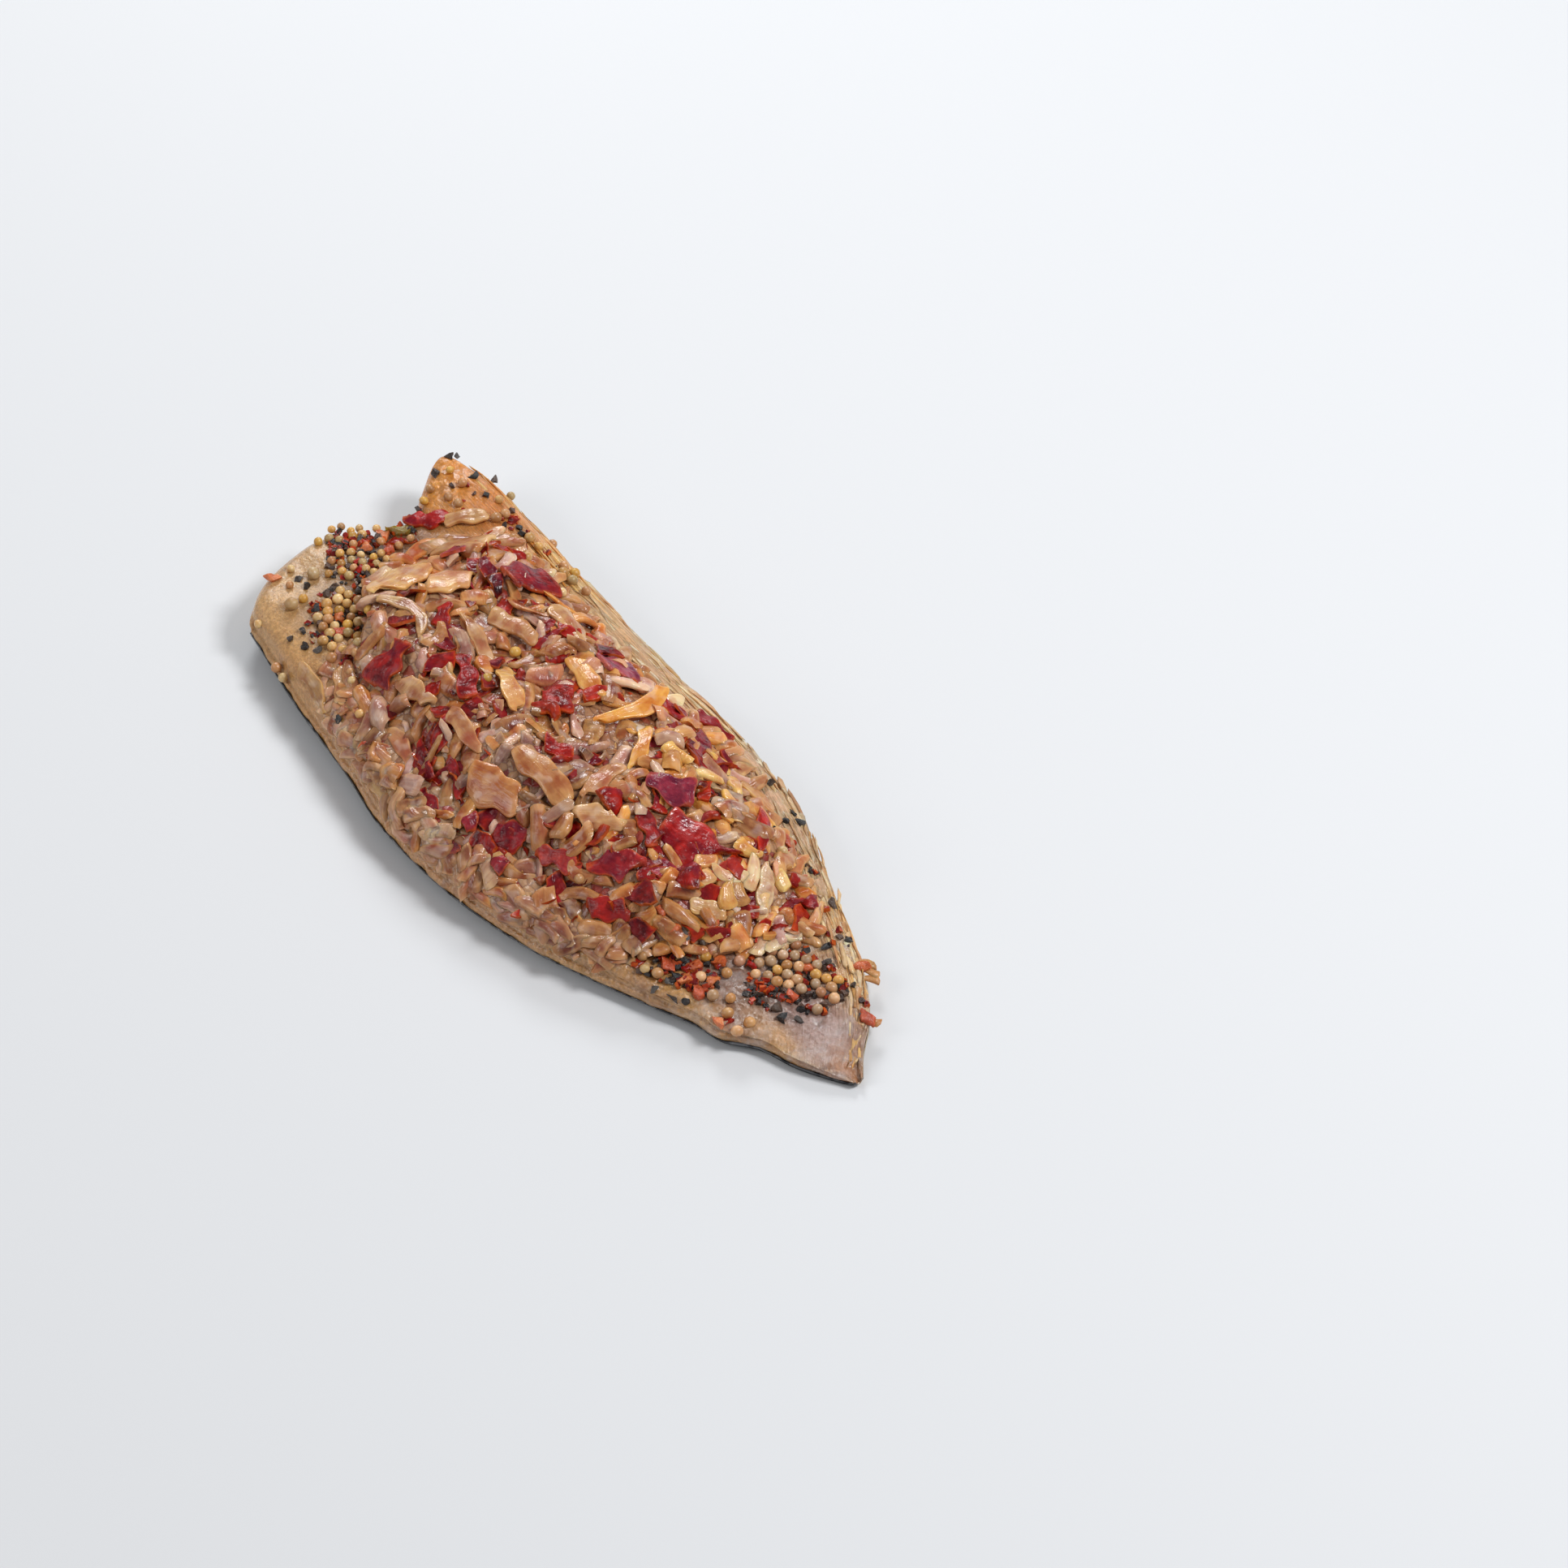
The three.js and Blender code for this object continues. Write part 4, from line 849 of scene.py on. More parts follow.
def makeScatterTree(name, base, *cells):
    # grows one small body on every point: sized, turned, bowed and roughened by the point's own values
    tree = bpy.data.node_groups.new(name, "GeometryNodeTree")
    numbers = [(label, "Float") for label in ("Roundness", "Corners", "Bevel", "Roughness", "Grain", "Crease")]
    for label, kind in (("Points", "Geometry"), *numbers, ("Surface", "Material")):
        tree.interface.new_socket(label, in_out="INPUT", socket_type="NodeSocket" + kind)
    tree.interface.new_socket("Pieces", in_out="OUTPUT", socket_type="NodeSocketGeometry")
    given, end = addNode(tree, "NodeGroupInput").outputs, addNode(tree, "NodeGroupOutput")

    def named(label, kind="FLOAT_VECTOR"):
        return addNode(tree, "GeometryNodeInputNamedAttribute", {"Name": label}, data_type=kind).outputs["Attribute"]

    def combined(operation, a, b):
        return addNode(tree, "ShaderNodeVectorMath", {0: a, 1: b}, operation=operation).outputs["Vector"]

    def scaled(a, factor):
        return addNode(tree, "ShaderNodeVectorMath", {0: a, 3: factor}, operation="SCALE").outputs["Vector"]

    def mixed(share, first, second):
        return addNode(tree, "ShaderNodeMix", {0: share, 4: first, 5: second}, data_type="VECTOR").outputs[1]

    def packed(x, y, z):
        return addNode(tree, "ShaderNodeCombineXYZ", {0: x, 1: y, 2: z}).outputs[0]

    def square(value):
        return calc(tree, "POWER", value, 2.0)

    def lessFrom(value):
        return calc(tree, "SUBTRACT", 1.0, value)

    def geometry(kind, links, **settings):
        return addNode(tree, kind, links, **settings).outputs[0]

    if base == "block":
        body = geometry("GeometryNodeMeshCube", {"Size": (2, 2, 2), 1: cells[0], 2: cells[1], 3: cells[2]})
    else:
        body = geometry("GeometryNodeMeshIcoSphere", {"Radius": 1.0, "Subdivisions": cells[0]})
    here = addNode(tree, "GeometryNodeInputPosition").outputs[0]
    kept = geometry("GeometryNodeStoreNamedAttribute", {"Geometry": body, "Name": "local", "Value": here},
                    data_type="FLOAT_VECTOR", domain="POINT")
    # a block, drawn in towards an oval at its corners, and towards a ball where it is round
    x, y, z = addNode(tree, "ShaderNodeSeparateXYZ", {0: here}).outputs
    narrowX, narrowY = [calc(tree, "SQRT", lessFrom(times(tree, square(value), 0.5))) for value in (y, x)]
    oval = packed(times(tree, x, narrowX), times(tree, y, narrowY), times(tree, z, times(tree, narrowY, narrowX)))
    inset = lessFrom(times(tree, square(z), given["Bevel"]))
    block = combined("MULTIPLY", mixed(given["Corners"], here, oval), packed(inset, inset, 1.0))
    ball = scaled(addNode(tree, "ShaderNodeVectorMath", {0: here}, operation="NORMALIZE").outputs["Vector"], 1.12)
    shaped = geometry("GeometryNodeSetPosition", {"Geometry": kept, "Position": mixed(given["Roundness"], block, ball)})
    turned = addNode(tree, "FunctionNodeEulerToRotation", {0: named("turn")}).outputs[0]
    laid = geometry("GeometryNodeInstanceOnPoints", {
        "Points": given["Points"], "Instance": shaped, "Rotation": turned, "Scale": named("size")})
    real = geometry("GeometryNodeRealizeInstances", {"Geometry": laid})
    # bows, hollow, slant and flare, then a rough surface that differs from body to body
    x, y, z = addNode(tree, "ShaderNodeSeparateXYZ", {0: named("local")}).outputs
    bowed = combined("ADD", scaled(named("arch"), lessFrom(square(x))), scaled(named("cup"), lessFrom(square(y))))
    leaning = combined("ADD", scaled(named("slant"), y), scaled(named("flare"), times(tree, x, y)))
    moved = combined("ADD", bowed, leaning)
    noise = addNode(tree, "ShaderNodeTexNoise", {
        "Vector": addNode(tree, "GeometryNodeInputPosition").outputs[0], "W": named("draw", "FLOAT"),
        "Scale": given["Grain"], "Detail": 1.0}, noise_dimensions="4D")
    rough = scaled(combined("SUBTRACT", noise.outputs["Color"], (0.5, 0.5, 0.5)), given["Roughness"])
    pieces = geometry("GeometryNodeSetPosition", {"Geometry": real, "Offset": combined("ADD", moved, rough)})
    pieces = geometry("GeometryNodeSetShadeSmooth", {"Geometry": pieces, "Shade Smooth": True})
    steep = calc(tree, "GREATER_THAN", addNode(tree, "GeometryNodeInputMeshEdgeAngle").outputs[0], given["Crease"])
    pieces = geometry("GeometryNodeSetShadeSmooth", {"Geometry": pieces, "Selection": steep, "Shade Smooth": False},
                      domain="EDGE")
    pieces = geometry("GeometryNodeSetMaterial", {"Geometry": pieces, "Material": given["Surface"]})
    tree.links.new(pieces, end.inputs["Pieces"])
    return tree


def settle(spot):
    # lowers a body that would stand above the top of the heap
    axes, size = spot["axes"], spot["size"]
    rise = sum(0.5 * size[i] * abs(axes[2][i]) for i in range(3))
    rise += abs(spot.get("arch", 0)) + max(0, spot.get("cup", 0))
    x, y, z = spot["place"]
    spot["place"] = (x, y, min(z, highest - rise))


def growPieces(name, tree, spots, look, material, node, slot):
    # spots: place, axes, size, bows, tint, draw and cross of each body, in mm; look holds the tree's own numbers
    for spot in spots:
        settle(spot)
    mesh = bpy.data.meshes.new(name + "Spots")
    places = np.array([spot["place"] for spot in spots], float)
    places[:, 0] += shiftX
    mesh.from_pydata((places * mm).tolist(), [], [])
    bows = {"arch": ("", "bend", "arch"), "cup": ("", "", "cup"), "slant": ("slant", "", ""), "flare": ("", "flare", "")}
    storeValues(mesh, {
        "turn": [tuple(spot["axes"].to_euler()) for spot in spots],
        "size": [tuple(0.5 * mm * c for c in spot["size"]) for spot in spots],
        **{label: [tuple(spot["axes"] @ Vector([spot.get(key, 0) for key in keys]) * mm) for spot in spots]
           for label, keys in bows.items()},
        "tint": [linear(*spot["tint"]) for spot in spots],
        "draw": [spot["draw"] for spot in spots],
        "cross": [float(spot.get("cross", 0)) for spot in spots],
    })
    source = bpy.data.objects.new(name + "Spots", mesh)
    bpy.context.scene.collection.objects.link(source)
    modifier = source.modifiers.new("grow", "NODES")
    modifier.node_group = tree
    inputs = {**look["body"], "Surface": material}
    for item in tree.interface.items_tree:
        if item.in_out == "INPUT" and item.name in inputs:
            modifier[item.identifier] = inputs[item.name]
    graph = bpy.context.evaluated_depsgraph_get()
    grown = bpy.data.meshes.new_from_object(source.evaluated_get(graph), preserve_all_data_layers=True, depsgraph=graph)
    bpy.data.objects.remove(source)
    grown.name = name
    piece = bpy.data.objects.new(name, grown)
    bpy.context.scene.collection.objects.link(piece)
    standFor(piece, node)


def turnedPlace(x, y, midX, midY, turn):
    # the place as seen from a middle point: how far along a direction, and how far across it
    spin = math.radians(turn)
    along = (x - midX) * math.cos(spin) + (y - midY) * math.sin(spin)
    return along, (y - midY) * math.cos(spin) - (x - midX) * math.sin(spin)


def underLargeCut(x, y, margin):
    # true where a large cut covers the place, with a margin round its outline
    for cut in largeCuts.values():
        along, across = turnedPlace(x, y, *cut["at"])
        length, width = cut["size"]
        wide = 0.5 * width + abs(cut.get("bend", 0))
        if abs(along) < 0.5 * length + margin and abs(across) < wide + margin:
            return True
    return False


def apart(x, y, room, places):
    return all(math.hypot(place[0] - x, place[1] - y) > room for place in places)


def edgeSlope(stations, x):
    return float(curveAt(stations, x + 1) - curveAt(stations, x - 1)) / 2


def pickTint(look, rng, low, high):
    return np.array(look["tints"][rng.choice(len(look["tints"]), p=look["shares"])]) * rng.uniform(low, high)


def bentCut(rng, place, axes, size, tint, arch, bend, cup, slant, flare, cross=0.3, draw=None):
    # one cut with its own bow, side bend, hollow, slant and flare, always drawn in this order
    length, width = size[:2]
    return {
        "place": place, "axes": axes, "size": size, "tint": tint,
        "arch": rng.normal(0, arch) * length, "bend": rng.normal(0, bend) * length,
        "cup": rng.uniform(*cup) * width, "slant": rng.normal(0, slant) * width,
        "flare": rng.normal(0, flare) * width,
        "draw": rng.uniform(0, 500) if draw is None else draw, "cross": float(rng.random() < cross),
    }


# small cuts strewn over the heap between and round the large ones; body holds the numbers of their tree
chunkBody = {"Roundness": 0.12, "Corners": 0.34, "Bevel": 0.2, "Roughness": 0.0012, "Grain": 360.0, "Crease": 1.4}
smallOnion = {
    "layers": [  # count, spacing, lift over the bed
        (200, 3.4, -0.1),
        (120, 4.8, 0.35),
    ],
    "length": (5.4, 11.4), "width": (3.0, 5.8), "thick": (1.3, 2.2), "bend": 0.07, "arch": 0.05, "uneven": 0.12,
    "tints": [(216, 136, 56), (224, 150, 74), (248, 216, 188), (236, 144, 24), (178, 92, 36),
              (206, 130, 98), (216, 166, 146)],
    "shares": [0.2, 0.17, 0.15, 0.16, 0.14, 0.1, 0.08],
    "margin": 0.4, "body": chunkBody,
}
onionStrips = {
    "layers": [(90, 4.4, 0.15), (70, 5.4, 0.5)],
    "length": (6.5, 13.0), "width": (1.8, 3.2), "thick": (1.0, 1.7), "bend": 0.09, "arch": 0.05, "uneven": 0.14,
    "tints": [(222, 146, 66), (246, 214, 184), (196, 112, 48), (240, 152, 30), (214, 164, 142)],
    "shares": [0.34, 0.22, 0.2, 0.12, 0.12],
    "margin": 2.0,
    "body": {"Roundness": 0.12, "Corners": 0.3, "Bevel": 0.22, "Roughness": 0.0011, "Grain": 340.0, "Crease": 1.4},
}
smallPepper = {
    "layers": [(110, 3.4, 0.2), (110, 4.4, 0.75)],
    "length": (3.4, 9.4), "width": (2.4, 5.6), "thick": (0.5, 0.9), "bend": 0.1, "arch": 0.1, "uneven": 0.26,
    "tints": [(158, 14, 18), (120, 10, 24), (184, 26, 14), (214, 76, 22), (92, 12, 30), (180, 66, 78)],
    "shares": [0.22, 0.18, 0.21, 0.19, 0.08, 0.12],
    "margin": 0.8, "clusters": 0.6, "clusterReach": 6,  # share that gathers round the large pepper cuts, and how near
    "body": {"Roundness": 0.1, "Corners": 0.45, "Roughness": 0.0021, "Grain": 430.0, "Crease": 1.0},
}
mince = {
    "layers": [(230, 2.6, 0.15)], "onRaft": True,
    "length": (1.6, 4.0), "width": (1.2, 2.6), "thick": (0.8, 1.3), "bend": 0.05, "arch": 0.1, "uneven": 0.2,
    "tints": [(196, 132, 84), (220, 180, 134), (206, 138, 50), (164, 18, 12), (124, 10, 16), (196, 70, 24),
              (166, 106, 68)],
    "shares": [0.28, 0.2, 0.12, 0.12, 0.09, 0.09, 0.1],
    "margin": -0.8, "body": {"Roundness": 0.3, "Roughness": 0.0008, "Grain": 500.0, "Crease": 1.0},
}


def spiceGround(x, y):
    return float(bedTop(x, y)) + 0.2 if insideHeap(x, y) else float(fleshTop(x, y))


def onRaft(x, y):
    # the edge of the heap where close seeds cover it
    return ((x + 66) / 10) ** 2 + ((y + 17) / 6) ** 2 < 1 or ((x + 53.5) / 5) ** 2 + ((y + 22.5) / 2.6) ** 2 < 1


shades = [  # x, y, reach, colour factors of the heap there
    (25, 22, 8, (0.72, 0.7, 0.74)), (5, -9, 10, (0.76, 0.7, 0.74)), (32, -27, 9, (0.88, 0.82, 0.9)),
    (-33, -30, 8, (0.88, 0.84, 0.84)), (-17, -10, 8, (0.92, 0.88, 0.86)), (-17, -35, 9, (0.9, 0.88, 0.9)),
    (19, 11, 6, (1.1, 1.12, 1.12)), (46, 23, 7, (1.08, 1.14, 1.26)), (57, 13, 7, (1.04, 1.1, 1.24)),
    (24, -36, 8, (0.9, 0.88, 0.92)), (45, -16, 8, (0.92, 0.88, 0.92)), (26, -8, 6, (1, 1.04, 1.2)),
]


leans = {"gold": (1.03, 1.04, 1.08), "rose": (0.87, 0.81, 0.91), "plain": (0.93, 0.89, 0.97), "all": (0.98, 1.0, 1.02)}


def leanTint(x, y, tint):
    # golden towards the belly and the tail, darker and rosier towards the back
    gold = smooth((y + 0.25 * x - 2) / 22)
    rose = smooth((-4 - y) / 20)
    lean = np.array(leans["gold"]) * gold + np.array(leans["rose"]) * (1 - gold) * rose
    lean = lean + np.array(leans["plain"]) * (1 - gold) * (1 - rose)
    for midX, midY, reach, factors in shades:
        lean = lean * np.array(factors) ** math.exp(-((x - midX) ** 2 + (y - midY) ** 2) / reach**2)
    return np.clip(tint * lean * leans["all"], 0, 255)


def strewCuts(look, seed, clusters=None):
    rng = np.random.default_rng(seed)
    spots = []
    for count, spacing, lift in look["layers"]:
        taken = np.zeros((0, 2))
        tries = 0
        while len(taken) < count and tries < 60 * count:
            tries += 1
            if clusters and rng.random() < look["clusters"]:
                midX, midY = clusters[rng.integers(len(clusters))][:2]
                x, y = rng.normal(midX, look["clusterReach"]), rng.normal(midY, look["clusterReach"])
            else:
                x, y = rng.uniform(*heap["ends"]), rng.uniform(-38, 38)
            length = rng.uniform(*look["length"])
            if not insideHeap(x, y, -look["margin"] - 0.2 * length):
                continue
            if len(taken) and np.min(np.hypot(taken[:, 0] - x, taken[:, 1] - y)) < spacing:
                continue
            taken = np.vstack([taken, (x, y)])
            width = min(rng.uniform(*look["width"]), 0.95 * length)
            covered = underLargeCut(x, y, 1.0)
            if (covered and lift > 0.2) or (onRaft(x, y) and not look.get("onRaft")):
                continue
            turn, tilt, pitch = rng.uniform(0, 360), rng.normal(0, 19), rng.normal(0, 12)
            axes = localAxes(x, y, turn, tilt, heapTop) @ Matrix.Rotation(math.radians(pitch), 3, "Y")
            height = float(bedTop(x, y)) + lift - (1.0 if covered else 0.0) + rng.uniform(-0.4, 0.7)
            tint = leanTint(x, y, pickTint(look, rng, 0.8, 1.08))
            spots.append(bentCut(
                rng, (x, y, height), axes, (length, width, rng.uniform(*look["thick"])), tint, look["arch"], look["bend"],
                (-0.06, 0.24), look["uneven"], 0.8 * look["uneven"], draw=7.3 * len(spots)))
    return spots


spread = {
    "count": 100, "spacing": 2.1, "length": (4.5, 10.0), "width": (2.0, 4.0), "thick": (0.7, 1.3),
    "reach": 7.5, "from": -62, "to": 48,  # how far out from the heap, and between which ends
    "tints": [(222, 164, 108), (210, 146, 96), (240, 200, 150), (184, 122, 78), (226, 154, 70), (160, 24, 24)],
    "shares": [0.28, 0.22, 0.16, 0.14, 0.1, 0.1], "body": chunkBody,
}


def spreadSpots(look):
    rng = np.random.default_rng(23)
    spots, taken = [], []
    while len(spots) < look["count"]:
        x = rng.uniform(look["from"], look["to"])
        room = float(curveAt(heap["back"], x) - curveAt(fish["backEdge"], x))
        y = float(curveAt(heap["back"], x)) + 1.5 - min(look["reach"], room) * rng.random()
        if underLargeCut(x, y, 0) or onRaft(x, y) or not apart(x, y, look["spacing"], taken):
            taken.append((x, y + 90))
            if len(taken) > 900:
                break
            continue
        taken.append((x, y))
        length = rng.uniform(*look["length"])
        width = min(rng.uniform(*look["width"]), 0.8 * length)
        turn = math.degrees(math.atan(edgeSlope(fish["backEdge"], x)))
        toRim = y - float(curveAt(fish["backEdge"], x))
        tint = leanTint(x, y, pickTint(look, rng, 0.88, 1.06))
        spots.append(bentCut(
            rng, (x, y, spiceGround(x, y) + 0.1), localAxes(x, y, turn + rng.normal(0, 12 + 8 * toRim), 0, fleshTop),
            (length, width, rng.uniform(*look["thick"])), tint, 0.03, 0.09, (0, 0.14), 0.16, 0.12))
    return spots


fringe = {
    "count": 140, "spacing": 2.5, "length": (4.4, 9.6), "width": (2.2, 4.4), "thick": (0.9, 1.7),
    "tints": [(210, 148, 88), (224, 168, 112), (244, 212, 160), (230, 142, 40), (176, 104, 58)],
    "shares": [0.26, 0.24, 0.2, 0.16, 0.14], "body": chunkBody,
}


def fringeSpots(look):
    rng = np.random.default_rng(31)
    start, end = heap["ends"]
    spots, taken = [], []
    for tries in range(4000):
        if len(spots) == look["count"]:
            break
        place, inwards = rng.random(), rng.uniform(-0.5, 2.2)
        x = rng.uniform(start + 0.5, end - 0.5)
        if place < 0.45:
            edge, y = "belly", float(curveAt(heap["belly"], x)) - inwards
        elif place < 0.85:
            edge, y = "back", float(curveAt(heap["back"], x)) + inwards
        else:
            edge, x = "end", end - inwards
            y = rng.uniform(float(curveAt(heap["back"], end)), float(curveAt(heap["belly"], end)))
        if onRaft(x, y) or underLargeCut(x, y, -0.8) or not apart(x, y, look["spacing"], taken):
            continue
        taken.append((x, y))
        turn = 80.0
        if edge != "end":
            turn = math.degrees(math.atan(edgeSlope(heap[edge], x)))
        length = rng.uniform(*look["length"])
        width = min(rng.uniform(*look["width"]), 0.75 * length)
        tint = leanTint(x, y, pickTint(look, rng, 0.84, 1.06))
        spots.append(bentCut(
            rng, (x, y, spiceGround(x, y) + rng.uniform(0.1, 0.6)),
            localAxes(x, y, turn + rng.normal(0, 42), rng.normal(0, 8), fleshTop),
            (length, width, rng.uniform(*look["thick"])), tint, 0.04, 0.08, (0, 0.12), 0.12, 0.1, 0.4))
    return spots


blockTree = makeScatterTree("smallCuts", "block", 6, 5, 2)
chunkTree = makeScatterTree("thickCuts", "block", 6, 5, 3)
stripTree = makeScatterTree("bentCuts", "block", 8, 3, 3)
crumbTree = makeScatterTree("mincedBits", "block", 3, 3, 2)
pepperSpots = [cut["at"] for name, cut in largeCuts.items() if name.startswith("pepper")]
ofOnion, ofPepper = (onionFlesh, "relish", "onion"), (pepperFlesh, "relish", "pepper")
growPieces("onion_cuts", chunkTree, strewCuts(smallOnion, 11), smallOnion, *ofOnion)
growPieces("spread_cuts", chunkTree, spreadSpots(spread), spread, *ofOnion)
growPieces("fringe_cuts", chunkTree, fringeSpots(fringe), fringe, *ofOnion)
growPieces("onion_strips", stripTree, strewCuts(onionStrips, 14), onionStrips, *ofOnion)
growPieces("pepper_cuts", blockTree, strewCuts(smallPepper, 12, pepperSpots), smallPepper, *ofPepper)
growPieces("minced_bits", crumbTree, strewCuts(mince, 13), mince, *ofOnion)
print("small cuts strewn")


# spice stuck to the flesh: mustard seeds, peppercorns, cracked pepper and carrot
spice = {
    "seedRadius": 1.36,
    "seedPatches": [  # x, y, spread along, spread across, count
        (-94.8, 0, 2.2, 6.5, 8), (-83, -1.5, 4.5, 9, 13), (-69.5, -17, 4.5, 4.5, 10),
        (-60, -22.5, 4.5, 3.4, 9), (-89, 22.5, 6, 5, 5), (-72, 31, 9, 2.5, 4), (-52, 33, 5, 1.5, 3),
        (-84, -24, 7, 7, 3), (68.5, 10.5, 5.5, 4.6, 14), (78.5, 13, 4, 4.5, 5), (73, -7.5, 5, 2.2, 5),
        (61, -4, 3.5, 5, 4), (53, -16, 3, 2, 3),
    ],
    "flakePatches": [
        (-92, 28, 7, 6, 4), (-79, -12, 8, 9, 6), (-66, -27, 6, 4, 4), (-45, -34.5, 5, 1, 1),
        (57, -12, 7, 5, 5), (75, 8, 6, 7, 6), (36, 35, 4, 1.5, 2), (67, 23, 6, 3, 2),
    ],
    "carrotPatches": [(-88, 4, 4, 6, 3), (-69, -20, 7, 6, 2), (58, -8, 6, 7, 6), (73, 10, 3, 5, 2),
                      (73.5, -10, 1, 1, 1)],
    "edgeSeeds": [(-81.7, -32.4), (-69.6, -35), (-66, -35.4), (-84.3, 36.4), (-67.5, 37), (-93.6, 20.5)],
    "edgeCarrots": [(-90, -23.6), (76.6, 23.4), (89, 16.6)],
    "corns": [(-85.6, -15.4), (-79.4, -24.7)],
    "olive": [(-88.4, 9.6, 0.9)],  # x, y, turn in radians
    "rafts": [  # seeds that lie close together: middle, half length, half width, turn
        (-67, -18, 11.5, 6.4, -22), (-53.5, -22.5, 6.4, 3.6, -22), (66, 9, 9.5, 6.2, 30),
        (76, 13.5, 4.5, 3.0, 30), (-82, -4, 8, 4.4, 50), (-94, -3, 2.4, 6.5, 0),
    ],
    "heapSeeds": [(-59, 25), (-32, 5), (30, -18), (-26, -6), (-46, 26)],
    "moreSeeds": [
        (-77, 28), (-69.5, 28), (-62, 27), (-55, 32), (-52, 32.5), (57, -2.5), (67, -11), (71, 2), (76, -7),
        (44.6, 24.6), (78, 12), (-41, -30), (-92.6, 5.4),
    ],
    "moreFlakes": [
        (-100, 31.8), (-93, 26), (-90, 35.4), (-95, -3), (-91, 1.5), (-79, -8), (-73, -12), (-69, -12.6),
        (-70, -25.5), (-63, -27), (-46, -29.6), (-37, -33), (-44, -34.4), (51, -12), (55, -16), (53, -6),
        (55.5, -3.4), (62, -3.6), (72, 18), (80, 16.4), (81, 8), (73.6, 6), (35, 32), (37, 27),
        (40.5, 22.6), (58.5, -12), (64, 17.4), (23.5, 35.6), (59, 28),
    ],
    "chilli": [  # x, y, size
        (-85.6, 6.4, 4.2), (-75, 31, 2.8), (-88, -1, 2.6), (-80, -7, 2.6), (-87, 2, 2.8), (-84.5, 9.5, 3.6),
        (-68, -26, 2.4), (-57, -24, 2.8), (-73.6, -5.6, 3.0), (-75, 32, 2.2), (57, -8.6, 3.8),
        (61, -10, 4.2), (51, -17, 2.6), (74, -9, 2.8), (43.4, 27, 2.6), (60.5, 13.5, 4.0), (64.6, 3.4, 2.4),
        (58, 22.5, 4.6), (75.5, 7, 2.4), (-89.6, 13, 2.4), (85, 18.4, 2.6),
    ],
    "moreCarrots": [
        (-60, -27), (-84, -1.6), (-77.6, -9.6), (-33, -33), (47, -8), (50.6, -8), (54, 0.4), (60, -2),
        (53.4, -15), (34.5, 29), (73, 13), (40.5, 27.5),
    ],
}


def drawer(seed):
    state = seed
    while True:
        state = (state * 1664525 + 1013904223) % 4294967296
        yield state / 4294967296


def onFillet(x, y, room):
    # clear of the back and belly edges, and by the given room of the head end
    v = float(shareAcross(x, y))
    return 0.03 < v < 0.97 and x - float(curveAt(fish["headEdge"], v)) > room


def patchPoints(patch, draw, spacing, taken, turned):
    # points of one patch, at least a spacing apart, on bare flesh
    centreX, centreY, spreadX, spreadY, count = patch
    found = []
    for tries in range(400):
        if len(found) == count:
            break
        angle = 2 * math.pi * next(draw)
        reach = 1.25 * math.sqrt(next(draw))
        x = centreX + spreadX * reach * math.cos(angle)
        y = centreY + spreadY * reach * math.sin(angle)
        bare = apart(x, y, spacing, taken) and onFillet(x, y, 1.2)
        if bare and not insideHeap(x, y, 2) and not underLargeCut(x, y, 1.8):
            taken.append((x, y))
            found.append((x, y, 6 * next(draw)) if turned else (x, y, 0))
    return found


def placeSpice(rule):
    draw = drawer(4127)
    corns, seeds, edgeBits = rule["corns"], list(rule["edgeSeeds"]), list(rule["edgeCarrots"])
    taken = [*corns, *seeds, *edgeBits]
    found = {"corns": [(x, y, 0.62) for x, y in corns], "seeds": [(x, y, 0.3) for x, y in seeds]}
    found["carrots"] = [(x, y, 0.6) for x, y in edgeBits]
    for patch in rule["carrotPatches"]:
        found["carrots"] += patchPoints(patch, draw, 4.4, taken, True)
    for patch in rule["seedPatches"]:
        found["seeds"] += [(x, y, 0.55) for x, y, turn in patchPoints(patch, draw, 2.75, taken, False)]
    found["flakes"] = []
    for patch in rule["flakePatches"]:
        found["flakes"] += patchPoints(patch, draw, 2.9, taken, True)
    found["chilli"] = []
    addMore(rule, found, taken)
    return found


def addMore(rule, found, taken):
    # close rafts of seeds and single bits, where nothing lies yet
    rng = np.random.default_rng(57)
    for x, y, size in rule["chilli"]:
        found["chilli"].append((x, y, size))
        taken.append((x, y))
    for kind, room, more in (("carrots", 2.6, rule["moreCarrots"]), ("flakes", 2.1, rule["moreFlakes"])):
        for x, y in more:
            if apart(x, y, room, taken):
                taken.append((x, y))
                found[kind].append((x, y, rng.uniform(0, 6)))
    for midX, midY, reachX, reachY, turn in rule["rafts"]:

        def inRaft(x, y):
            along, across = turnedPlace(x, y, midX, midY, turn)
            return (along / reachX) ** 2 + (across / reachY) ** 2 < 1

        found["seeds"] = [seed for seed in found["seeds"] if not inRaft(seed[0], seed[1])]
        grown = [(midX, midY)]
        for tries in range(1400):
            fromX, fromY = grown[rng.integers(len(grown))]
            angle, gap = rng.uniform(0, 2 * math.pi), 2 * rule["seedRadius"] * rng.uniform(0.9, 0.98)
            x, y = fromX + gap * math.cos(angle), fromY + gap * math.sin(angle)
            bits = [*found["carrots"], *found["flakes"], *found["chilli"]]
            bare = apart(x, y, 2.42, found["seeds"]) and apart(x, y, 1.7, bits) and not underLargeCut(x, y, -0.4)
            if inRaft(x, y) and bare and not insideHeap(x, y, -1.5):
                taken.append((x, y))
                grown.append((x, y))
                found["seeds"].append((x, y, 0.4))
    for x, y in rule["moreSeeds"]:
        if apart(x, y, 2.3, taken):
            taken.append((x, y))
            found["seeds"].append((x, y, 0.55))
    found["seeds"] += [(x, y, 1.5) for x, y in rule["heapSeeds"]]  # these ride on the cuts


